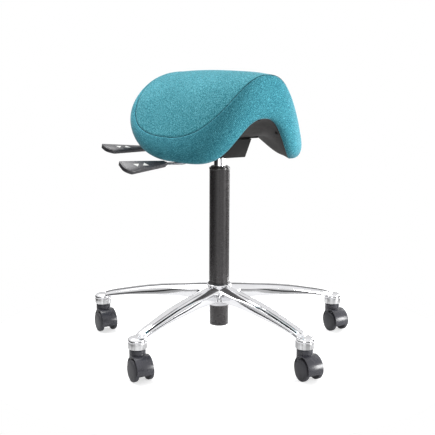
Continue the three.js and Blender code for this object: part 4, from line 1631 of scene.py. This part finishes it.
@dataclass
class GasLift:
    """The chrome tube in its black column, with its bush, end cap and clip."""

    finishes: Finishes
    column_radius: float = 0.025
    seat_radius: float = 0.0238
    wall: float = 0.002
    tube_radius: float = 0.014

    def column(self) -> BMesh:
        """Makes the column with its rolled lip, taper and closed floor.

        Returns:
            The closed body.
        """
        low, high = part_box("column_tube")
        r, s, w = self.column_radius, self.seat_radius, self.wall
        lip = high[2] - 0.005
        return turned(ring_profile([
            (s - w, low[2]), (s - 0.0006, low[2]), (s, low[2] + 0.001), (s, 0.088), (r, 0.151),
            (r, lip - 0.0006), (r + 0.0007, lip), (r + 0.0007, high[2] - 0.0012), (r - 0.0003, high[2]),
            (s - w, high[2]), (s - w, 0.055), (0.0053, 0.055), (0.0053, 0.052), (s - w, 0.052),
        ]), 96, 0.0003)

    def bush(self) -> BMesh:
        """Makes the plastic bush that shows as a dark rim at the column's mouth.

        Returns:
            The closed body.
        """
        low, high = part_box("guide_bush")
        inner = self.tube_radius + 0.00025
        outer = self.seat_radius - self.wall - 0.0003
        return turned(ring_profile([
            (inner, low[2]), (outer, low[2]), (outer, high[2] - 0.0012), (outer - 0.0012, high[2]),
            (inner + 0.001, high[2]), (inner, high[2] - 0.001),
        ]), 72, 0.0002)

    def tube(self) -> BMesh:
        """Makes the chrome tube with its tapered neck.

        Returns:
            The closed body.
        """
        low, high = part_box("pressure_tube")
        r = self.tube_radius
        return turned(ring_profile([
            (r - 0.0016, low[2]), (r, low[2]), (r, 0.4785), (r - 0.0009, high[2] - 0.0008),
            (r - 0.0018, high[2]), (0.00285, high[2]), (0.00285, high[2] - 0.014),
            (r - 0.0016, high[2] - 0.014),
        ]), 96, 0.0002)

    def button(self) -> BMesh:
        """Makes the valve button.

        Returns:
            The closed body.
        """
        low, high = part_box("valve_button")
        return turned([
            (0, low[2]), (0.0026, low[2]), (0.0026, high[2] - 0.0006), (0.002, high[2]), (0, high[2]),
        ], 32, 0.0001)

    def ring(self) -> BMesh:
        """Makes the dark ring where the column enters the hub.

        Returns:
            The closed body.
        """
        low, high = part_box("hub_ring")
        inner = self.column_radius + 0.0003
        return turned(ring_profile([
            (inner, low[2]), (high[0], low[2]), (high[0], low[2] + 0.0018), (high[0] - 0.0012, high[2]),
            (inner, high[2]),
        ]), 80, 0.0003)

    def rod(self) -> BMesh:
        """Makes the piston rod with its grooved end.

        Returns:
            The closed body.
        """
        low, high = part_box("piston_rod")
        r, neck = 0.005, 0.0036
        return turned([
            (0, low[2]), (r - 0.0006, low[2]), (r, low[2] + 0.0006), (r, low[2] + 0.002),
            (neck, low[2] + 0.002), (neck, low[2] + 0.0042), (r, low[2] + 0.0042), (r, high[2] - 0.022),
            (0.0116, high[2] - 0.022),
            (0.0116, high[2]), (0, high[2]),
        ], 40, 0.0002)

    def clip(self) -> BMesh:
        """Makes the spring clip on the rod's end.

        Returns:
            The closed body.
        """
        low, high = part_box("retaining_clip")
        return turned(ring_profile([
            (0.0039, low[2]), (0.0085, low[2]), (0.0085, high[2]), (0.0039, high[2])]), 40, 0.0003)

    def build(self) -> None:
        """Makes the gas lift's pieces."""
        f = self.finishes
        add_piece("lower_column", self.column(), f.column_coat, Body.BASE, "black_steel", ["column_tube"])
        add_piece("column_bush", self.bush(), f.black_plastic, Body.BASE, "black_plastic", ["guide_bush"])
        add_piece("hub_collar", self.ring(), f.black_plastic, Body.BASE, "black_plastic", ["hub_ring"])
        add_piece("chrome_tube", self.tube(), f.chrome, Body.LIFT_STAGE, "chrome", ["pressure_tube"])
        add_piece("lift_button", self.button(), f.steel, Body.VALVE, "steel", ["valve_button"])
        add_piece("lift_rod", self.rod(), f.steel, Body.GAS_ROD, "steel", ["piston_rod"])
        add_piece("rod_clip", self.clip(), f.steel, Body.GAS_ROD, "steel", ["retaining_clip"])
        dress_node("thrust_bearing", f.steel)
        dress_node("bump_stop", f.rubber)


# Base


@dataclass
class StarBase:
    """The polished casting: hub, five arms with a raised crown, and the stem sockets."""

    finishes: Finishes
    arms: int = 5
    first_angle: float = math.radians(62.5)
    stem_circle: float = 0.32
    stations: tuple[tuple[float, float, float, float], ...] = (
        (0.012, 0.026, 0.151, 0.104), (0.045, 0.025, 0.148, 0.111), (0.09, 0.0235, 0.143, 0.113),
        (0.13, 0.0215, 0.139, 0.111), (0.187, 0.0195, 0.131, 0.107), (0.24, 0.0175, 0.1205, 0.1025),
        (0.29, 0.0155, 0.109, 0.0945), (0.322, 0.0135, 0.0988, 0.0873),
    )
    valley_radius: float = 0.012
    crown_share: float = 0.62
    crown_fade: float = 6.0
    crown_near_share: float = 0.4
    crown_dome: float = 0.0011
    shoulder_slant: tuple[float, float] = (0.0165, 0.0036)
    shoulder_change: tuple[float, float] = (0.06, 0.18)
    shoulder_slopes: tuple[float, ...] = tuple(math.radians(slope) for slope in (22, 25, 28, 32))
    ridge_share: float = 0.55
    ridge_drop: float = 0.0018
    ridge_batter: float = 0.13
    crown_end: float = 0.3125
    waist_share: float = 0.1
    tip_round: float = 0.012
    socket_radius: float = 0.0215
    socket_low: float = 0.0705
    hub_bottom: float = 0.0975
    dome_points: int = 7
    skirt_points: int = 12
    under_points: int = 9

    def arm_angle(self, index: int) -> float:
        """Gives the heading of an arm."""
        return self.first_angle + 2 * math.pi * index / self.arms

    def station(self, reach: float) -> tuple[float, float, float]:
        """Gives half width, top and bottom of the arm at a distance, on a smooth curve.

        Args:
            reach: Distance from the column's axis.

        Returns:
            Half width, top and bottom.
        """
        rows = self.stations
        index = max(0, min(len(rows) - 2, sum(1 for row in rows if row[0] <= reach) - 1))
        a, b = rows[index], rows[index + 1]
        before, after = rows[max(index - 1, 0)], rows[min(index + 2, len(rows) - 1)]
        span = b[0] - a[0]
        share = within((reach - a[0]) / span)
        values = []
        for k in (1, 2, 3):
            slope_a = (b[k] - before[k]) / (b[0] - before[0]) * span
            slope_b = (after[k] - a[k]) / (after[0] - a[0]) * span
            s2, s3 = share * share, share**3
            values.append(
                a[k] * (2 * s3 - 3 * s2 + 1) + slope_a * (s3 - 2 * s2 + share)
                + b[k] * (3 * s2 - 2 * s3) + slope_b * (s3 - s2))
        return values[0], values[1], values[2]

    def flared(self, half: float, reach: float) -> float:
        """Widens the arm near the hub, so that it meets its neighbour in a rounded valley.

        Args:
            half: The arm's own half width.
            reach: Distance from the column's axis.

        Returns:
            The half width with its flare.
        """
        radius, slope = self.valley_radius, math.tan(math.pi / self.arms)
        centre = (half + radius) / slope
        nearest = centre - radius * math.sin(math.pi / 2 - math.pi / self.arms)
        past = centre - max(reach, nearest)
        return half if past <= 0 else half + radius - math.sqrt(max(radius**2 - past**2, 0.0))

    def half_section(self, reach: float) -> list[tuple[float, float]]:
        """Lists one side of the arm's section, from the middle of its top to the middle below.

        Args:
            reach: Distance from the column's axis.

        Returns:
            Pairs of distance across and height.
        """
        half, top, bottom = self.station(reach)
        start, end = self.shoulder_change
        share = within((end - reach) / (end - start))
        close = share * share * (3 - 2 * share)
        crown = half * (self.crown_share + (self.crown_near_share - self.crown_share) * close)
        tongue = (reach - (self.crown_end - crown)) / crown
        fade = math.sqrt(max(0.0, 1 - max(0.0, tongue) ** 2))
        crown *= fade
        half = self.flared(half, reach)
        near, onward = self.shoulder_slant
        slant = (onward + (near - onward) * close) * min(1.0, fade * self.crown_fade)
        ridge = self.ridge_drop * min(1.0, fade * self.crown_fade)
        dome, lift = self.crown_dome * fade, top - self.crown_dome
        points = []
        for k in range(self.dome_points):
            share = self.ridge_share * k / (self.dome_points - 1)
            points.append((crown * share, lift + dome * (1 - share * share)))
        for k in range(self.dome_points):
            share = self.ridge_share + (1 - self.ridge_share) * k / (self.dome_points - 1)
            lead = self.ridge_batter * ridge * (1 - k / (self.dome_points - 1))
            points.append((crown * share + lead, lift + dome * (1 - share * share) - ridge))
        for slope in self.shoulder_slopes:
            across, height = points[-1]
            reached = slant / len(self.shoulder_slopes)
            points.append((across + reached * math.cos(slope), height - reached * math.sin(slope)))
        across, shoulder = points[-1]
        half = max(half, across + 0.0005)
        waist = bottom + (top - bottom) * self.waist_share
        slope, out = self.shoulder_slopes[-1], min((half - across) * 0.9, (shoulder - waist) * 0.5)
        bends = (
            Vector((across, shoulder)), Vector((across + out, shoulder - out * math.tan(slope))),
            Vector((half, waist + (shoulder - waist) * 0.25)), Vector((half, waist)))
        points += [tuple(curve(bends, k / self.skirt_points)) for k in range(1, self.skirt_points + 1)]
        for k in range(1, self.under_points + 1):
            turn = math.pi / 2 * (k / self.under_points)
            points.append((
                half * max(0.0, math.cos(turn)) ** 0.6 if k < self.under_points else 0.0,
                waist - (waist - bottom) * math.sin(turn) ** 0.8))
        return points

    def reaches(self) -> list[float]:
        """Lists the distances along an arm at which its section is set, closer at the crown's end.

        Returns:
            The distances in order.
        """
        start, end = self.stations[0][0], self.stations[-1][0]
        plain = [start + (end - start) * k / 84 for k in range(85)]
        close = [self.crown_end - 0.012 * k / 14 for k in range(15)] + [self.crown_end + 0.0007]
        close += [end - self.tip_round * (1 - math.cos(math.pi * k / 20)) for k in range(11)]
        return sorted({round(value, 5) for value in plain + close})

    def arm(self) -> BMesh:
        """Makes an arm that lies along X.

        Returns:
            The closed body.
        """
        rows = []
        end = self.stations[-1][0]
        for reach in self.reaches():
            side = self.half_section(reach)
            middle = (side[0][1] + side[-1][1]) / 2
            tip = max(0.0, (reach - (end - self.tip_round)) / self.tip_round)
            shrink = math.sqrt(max(0.0, 1 - tip * tip))
            ring = side + [(-across, height) for across, height in reversed(side[1:-1])]
            rows.append([Vector((reach, a * shrink, middle + (h - middle) * shrink)) for a, h in ring])
        middle = sum(rows[0], Vector()) / len(rows[0])
        rows.insert(0, [middle] * len(rows[0]))
        around, along = len(rows[0]), len(rows) - 1

        def place(u: float, v: float) -> Vector:
            """Picks the point of the section round the arm and along it."""
            return rows[round(v * along)][round(u * around) % around]

        return mapped_grid(around, along, place)

    def socket(self) -> tuple[BMesh, BMesh]:
        """Makes a boss: its polished upper part and its machined ring.

        Returns:
            The polished part and the ring.
        """
        low, r = self.socket_low, self.socket_radius
        upper = turned([
            (0, low + 0.01), (0.0204, low + 0.01), (0.0204, low + 0.0152), (r, low + 0.0158),
            (r - 0.0004, low + 0.0198), (r - 0.0012, low + 0.0222), (r - 0.003, low + 0.0241),
            (r - 0.0065, low + 0.0253), (r - 0.012, low + 0.0258), (0, low + 0.026)], 72, 0.0004)
        ring = turned([
            (0.0058, low + 0.014), (0.0058, low), (r - 0.0008, low), (r, low + 0.0006), (r, low + 0.0142),
            (r - 0.0005, low + 0.0148), (0.0058, low + 0.0148)], 72, 0.0002)
        place = Matrix.Translation((self.stem_circle, 0, 0))
        return moved(upper, place), moved(ring, place)

    def hub(self) -> BMesh:
        """Makes the hub that grips the column.

        Returns:
            The closed body.
        """
        low = self.hub_bottom
        return turned(ring_profile([
            (0.0241, low), (0.0268, low), (0.0272, low + 0.001), (0.0278, low + 0.008), (0.031, low + 0.013),
            (0.031, 0.1485), (0.0295, 0.1508), (0.0253, 0.1508)]), 96, 0.0004)

    def build(self) -> None:
        """Makes the base's pieces."""
        f = self.finishes
        bright, rings = [self.hub()], []
        for i in range(self.arms):
            turn = Matrix.Rotation(self.arm_angle(i), 4, "Z")
            bright.append(moved(self.arm(), turn))
            upper, ring = self.socket()
            bright.append(moved(upper, turn))
            rings.append(moved(ring, turn))
        slot = "polished_aluminium"
        add_piece("star_casting", merged(bright), f.polished, Body.BASE, slot, ["star_base"], 0.5)
        add_piece("socket_rings", merged(rings), f.machined, Body.BASE, slot)


# Casters


@dataclass
class Caster:
    """One twin-wheel caster with its hood, neck and stem."""

    finishes: Finishes
    number: int
    stem: Vector
    trail: float = 0.017
    wheel_radius: float = 0.025
    wheel_inner: float = 0.0128
    wheel_outer: float = 0.0234
    hood_radius: float = 0.0298
    hood_lift: float = 0.0034
    hood_wall: float = 0.0024
    hood_half: float = 0.0202
    hood_low: float = 0.019
    web_half: float = 0.0122
    web_radius: float = 0.021
    web_low: float = 0.0136
    neck_radius: float = 0.0187
    neck_top: float = 0.0689

    def axle(self) -> Vector:
        """Gives the middle of the axle."""
        return self.stem + Vector((0, -self.trail, self.wheel_radius))

    def hood_centre(self) -> Vector:
        """Gives the middle of the hood's round, a little above the axle."""
        return self.axle() + Vector((0, 0, self.hood_lift))

    def wheel(self, side: int) -> BMesh:
        """Makes one wheel: rounded tread, rim line and domed face.

        Args:
            side: -1 for the left, 1 for the right.

        Returns:
            The wheel in its place.
        """
        r, i, o = self.wheel_radius, self.wheel_inner, self.wheel_outer
        bm = turned([
            (0, i), (r - 0.0022, i), (r - 0.0006, i + 0.0006), (r, i + 0.0022), (r, o - 0.0024),
            (r - 0.0007, o - 0.0008), (r - 0.0022, o), (r - 0.0028, o), (r - 0.0032, o - 0.0006),
            (r - 0.0037, o - 0.0006), (r - 0.0042, o + 0.0001), (r - 0.009, o + 0.00085),
            (r - 0.016, o + 0.0013), (0, o + 0.0014)], 72, 0.00015)
        return facing_side(bm, self.axle(), side)

    def arc(self, centre: Vector, radius: float, low: float, steps: int = 44) -> Pairs:
        """Lists an arc over a centre in Y and Z, down to a height on both sides.

        Args:
            centre: The arc's middle.
            radius: Its radius.
            low: The height of its two ends.
            steps: Its straight runs.

        Returns:
            The points in order.
        """
        start = math.asin((low - centre.z) / radius)
        points = []
        for step in range(steps + 1):
            angle = start + (math.pi - 2 * start) * step / steps
            points.append((centre.y + radius * math.cos(angle), centre.z + radius * math.sin(angle)))
        return points

    def hood(self) -> BMesh:
        """Makes the hood over the wheels, the web between them and the neck.

        Returns:
            The hood, web and neck in their place.
        """
        x, centre, low = self.stem.x, self.hood_centre(), self.hood_low
        inner, half = self.hood_radius - self.hood_wall, self.web_half
        band = [*self.arc(centre, self.hood_radius, low), *reversed(self.arc(centre, inner, low))]
        roof = side_plate(band, x - self.hood_half, x + self.hood_half, 0.0)
        round_over(roof, 0.0011, 3, 0.7)
        fill = side_plate(self.arc(centre, inner + 0.0008, low + 0.0004), x - half, x + half, 0.0)
        round_over(fill, 0.0006, 2, 0.9)
        flat = self.arc(self.axle(), self.web_radius, self.web_low, 36)
        web = side_plate(flat, x - half + 0.0004, x + half - 0.0004, 0.0)
        round_over(web, 0.0008, 2, 0.9)
        top, r = self.neck_top, self.neck_radius
        neck = turned([
            (0, 0.0365), (r - 0.0008, 0.0365), (r, 0.0385), (r, top - 0.0009), (r - 0.0008, top),
            (0.0058, top), (0.0058, top - 0.016), (0, top - 0.016)], 72, 0.0002)
        moved(neck, Matrix.Translation(self.stem))
        for side in (-1, 1):
            self.clear_wheel(neck, side)
        return merged([roof, fill, web, neck])

    def clear_wheel(self, neck: BMesh, side: int) -> None:
        """Draws the neck's lower front in where a wheel turns under the hood.

        Args:
            neck: The neck's mesh.
            side: -1 for the left wheel, 1 for the right.
        """
        wheels, room = self.axle(), self.wheel_radius + 0.0011
        for vert in neck.verts:
            away = Vector((vert.co.y - wheels.y, vert.co.z - wheels.z))
            beside = side * (vert.co.x - wheels.x) > self.web_half
            if beside and away.length < room:
                vert.co.z = wheels.z + math.sqrt(max(room**2 - away.x**2, 0.0))

    def stem_pin(self) -> BMesh:
        """Makes the stem with its collar and rounded tip.

        Returns:
            The stem in its place.
        """
        top = self.neck_top
        bm = turned([
            (0, top - 0.0199), (0.0055, top - 0.0199), (0.0055, top + 0.0003), (0.009, top + 0.0003),
            (0.009, top + 0.0013), (0.0055, top + 0.0013), (0.0055, 0.0852), (0.0046, 0.087), (0.0028, 0.088),
            (0, 0.088)], 32, 0.0001)
        return moved(bm, Matrix.Translation(self.stem))

    def build(self) -> None:
        """Makes the caster's pieces."""
        f, name, slot = self.finishes, f"caster_{self.number}", "caster_plastic"
        add_piece(f"{name}_hood", self.hood(), f.hood_plastic, name, slot, [f"{name}_housing"])
        add_piece(f"{name}_pin", self.stem_pin(), f.steel, name, "steel", [f"{name}_stem"])
        for side, word in ((-1, "left"), (1, "right")):
            node = f"{name}_wheel_{word}"
            add_piece(f"{name}_roller_{word}", self.wheel(side), f.caster_plastic, node, slot, [node])
        dress_node(f"{name}_axle", f.steel)


class Casters:
    """The five casters under the arms."""

    def __init__(self, finishes: Finishes, base: StarBase) -> None:
        """Sets a caster under each arm's socket.

        Args:
            finishes: The stool's finishes.
            base: The base that carries them.
        """
        self.casters = []
        for i in range(base.arms):
            angle, reach = base.arm_angle(i), base.stem_circle
            stem = Vector((reach * math.cos(angle), reach * math.sin(angle), 0))
            self.casters.append(Caster(finishes, i + 1, stem))

    def build(self) -> None:
        """Makes all the casters."""
        for caster in self.casters:
            caster.build()


# Studio


@dataclass
class Studio:
    """The white room, the lights and the camera."""

    lens: float = 70.13
    distance: float = 2.074
    height: float = 0.7131
    heading: float = 28.8
    yaw: float = -0.129
    pitch: float = 10.762
    roll: float = 0.287
    floor_radius: float = 0.6
    floor_glow: float = 0.58
    mirror_glow: float = 0.12
    bounce: float = 0.5
    mirror_stops: tuple[tuple[float, float], ...] = (
        (0.0, 0.9), (0.3, 0.7), (0.4, 0.12), (0.49, 0.05), (0.515, 0.5), (0.56, 0.7), (0.7, 0.8), (1.0, 1.0))
    near_stops: tuple[tuple[float, float], ...] = (
        (0.0, 0.9), (0.3, 0.75), (0.4, 0.85), (0.443, 0.8), (0.457, 0.03), (0.504, 0.03), (0.52, 0.45),
        (0.6, 0.7), (0.7, 0.9), (1.0, 1.0))
    stripe_stops: tuple[tuple[float, float], ...] = (
        (0.0, 0.02), (0.07, 0.03), (0.17, 0.45), (0.3, 0.8), (0.42, 1.0), (0.47, 0.4), (0.54, 0.35),
        (0.6, 1.0), (0.8, 0.6), (0.85, 0.5), (0.92, 0.9), (0.95, 0.03), (1.0, 0.02))
    soft_stops: tuple[tuple[float, float], ...] = (
        (0.0, 0.13), (0.48, 0.13), (0.56, 0.22), (0.8, 0.4), (1.0, 0.6))
    stripe_fades: tuple[tuple[float, float], ...] = ((0.0, 0.1), (-0.35, -0.55))
    room_blend: tuple[float, float] = (0.45, 0.8)

    def camera(self) -> None:
        """Sets the camera where the photograph was taken."""
        data = bpy.data.cameras.new("camera")
        data.lens, data.sensor_width = self.lens, 36.0
        data.clip_start, data.clip_end = 0.05, 60.0
        camera = in_scene("camera", data)
        heading = math.radians(self.heading)
        place = Vector((-self.distance * math.sin(heading), -self.distance * math.cos(heading), self.height))
        turn, pitch = heading + math.radians(self.yaw), math.radians(self.pitch)
        level = math.cos(pitch)
        forward = Vector((math.sin(turn) * level, math.cos(turn) * level, -math.sin(pitch)))
        right = forward.cross(Vector((0, 0, 1))).normalized()
        up = right.cross(forward)
        roll = math.radians(self.roll)
        side = right * math.cos(roll) + up * math.sin(roll)
        top = up * math.cos(roll) - right * math.sin(roll)
        camera.matrix_world = Matrix((
            (side.x, top.x, -forward.x, place.x), (side.y, top.y, -forward.y, place.y),
            (side.z, top.z, -forward.z, place.z), (0, 0, 0, 1)))
        bpy.context.scene.camera = camera

    def floor_material(self) -> Material:
        """Makes a white floor that keeps the stool's shadow.

        Returns:
            The white finish.
        """
        board = MaterialBoard("studio_white")
        board.set(Base_Color=(0.8, 0.8, 0.8, 1), Roughness=0.9, Specular_IOR_Level=0.1)
        glow = board.add("ShaderNodeEmission", Color=(1, 1, 1, 1))
        shadowed = board.add("ShaderNodeAddShader")
        board.wire(board.shader.outputs[0], shadowed.inputs[0])
        board.wire(glow.outputs[0], shadowed.inputs[1])
        rays = board.add("ShaderNodeLightPath")
        seen = board.math("MAXIMUM", rays.outputs["Is Camera Ray"], rays.outputs["Is Glossy Ray"])
        seen = board.math("MAXIMUM", seen, rays.outputs["Is Transmission Ray"])
        extra = board.math("MULTIPLY", rays.outputs["Is Camera Ray"], self.floor_glow - self.mirror_glow)
        board.wire(board.math("ADD", extra, self.mirror_glow), glow.inputs["Strength"])
        dull = board.add("ShaderNodeBsdfDiffuse", Color=(self.bounce, self.bounce, self.bounce, 1))
        mixed = board.mix(seen, dull.outputs[0], shadowed.outputs[0])
        board.wire(mixed, board.tree.nodes["Material Output"].inputs["Surface"])
        return board.material

    def floor(self) -> None:
        """Lays the floor, as far as the light falls on it."""
        bm = bmesh.new()
        place = Matrix.Translation((0, 0, -0.0003))
        bmesh.ops.create_circle(bm, cap_ends=True, segments=96, radius=self.floor_radius, matrix=place)
        mesh = finished("floor", bm)
        mesh.materials.append(self.floor_material())
        floor = in_scene("floor", mesh)

    @staticmethod
    def graded(board: NodeBoard, height: Socket, stops: Pairs) -> bpy.types.Node:
        """Adds a background whose brightness follows the height of a direction.

        Args:
            board: The world's nodes.
            height: The height, from 0 straight down to 1 straight up.
            stops: Pairs of height and brightness.

        Returns:
            The background node.
        """
        colour = board.ramp(height, grey(stops))
        background = board.add("ShaderNodeBackground")
        board.wire(colour, background.inputs["Color"])
        return background

    def world(self) -> None:
        """Lights the room: white to the eye, with a dark skirting for bright metal to mirror."""
        world = bpy.data.worlds.new("studio")
        world.use_nodes = True
        bpy.context.scene.world = world
        world.node_tree.nodes.clear()
        board = NodeBoard(world.node_tree)
        rays = board.add("ShaderNodeLightPath").outputs
        direction = board.add("ShaderNodeTexCoord").outputs["Generated"]
        split = board.add("ShaderNodeSeparateXYZ")
        board.wire(direction, split.inputs[0])
        up = split.outputs["Z"]
        height = board.scaled(up, 0.5, 0.5)
        bright = self.graded(board, height, self.mirror_stops)
        dim = self.graded(board, height, self.near_stops)
        heading = math.radians(self.heading)
        ahead = board.along(direction, Vector((math.sin(heading), math.cos(heading), 0)))
        across = board.along(direction, Vector((math.cos(heading), -math.sin(heading), 0)))
        strength = board.ramp(board.scaled(across, 0.5, 0.5), grey(self.stripe_stops))
        for first, last in self.stripe_fades:
            strength = board.math("MAXIMUM", board.span(up, first, last), strength)
        board.wire(strength, dim.inputs["Strength"])
        blend = board.span(ahead, *self.room_blend, interpolation_type="SMOOTHSTEP")
        mirrored = board.mix(blend, dim.outputs[0], bright.outputs[0])
        soft = self.graded(board, height, self.soft_stops)
        white = board.add("ShaderNodeBackground", Color=(1, 1, 1, 1))
        unseen = board.mix(rays["Is Glossy Ray"], soft.outputs[0], mirrored)
        shown = board.mix(rays["Is Camera Ray"], unseen, white.outputs[0])
        board.wire(shown, board.add("ShaderNodeOutputWorld").inputs[0])

    def lamp(self, name: str, place: Vector, target: Vector, size: tuple[float, float], power: float) -> None:
        """Adds one soft box.

        Args:
            name: The lamp's name.
            place: Where it stands.
            target: What it faces.
            size: Its width and height.
            power: Its power in watts.
        """
        data = bpy.data.lights.new(name, "AREA")
        data.shape, data.size, data.size_y, data.energy = "RECTANGLE", size[0], size[1], power
        lamp = in_scene(name, data)
        lamp.location = place
        lamp.rotation_mode = "QUATERNION"
        lamp.rotation_quaternion = (place - target).to_track_quat("Z", "Y")

    def build(self) -> None:
        """Sets up the studio."""
        self.camera()
        self.floor()
        self.world()
        middle = Vector((0, 0, 0.4))
        self.lamp("overhead", Vector((-0.3, 0.85, 2.3)), middle, (1.7, 1.7), 41)
        self.lamp("right_key", Vector((1.7, -2.0, 0.5)), middle, (1.0, 1.0), 58)
        self.lamp("right_rim", Vector((2.1, 0.5, 0.7)), middle, (0.7, 1.4), 36)
        self.lamp("left_fill", Vector((-1.4, -2.0, 0.35)), middle, (1.2, 0.6), 7)
        bpy.context.scene.view_settings.view_transform = "Standard"


def main() -> None:
    """Builds the stool and the studio in order."""
    logging.basicConfig(level=logging.INFO)
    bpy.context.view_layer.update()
    studio = Studio()
    studio.build()
    finishes = Finishes()
    base = StarBase(finishes)
    assemblies = [
        Saddle(finishes), SaddleShell(finishes), Mechanism(finishes), Levers(finishes), GasLift(finishes),
        base, Casters(finishes, base),
    ]
    for assembly in assemblies:
        assembly.build()


if __name__ == "__main__":
    main()
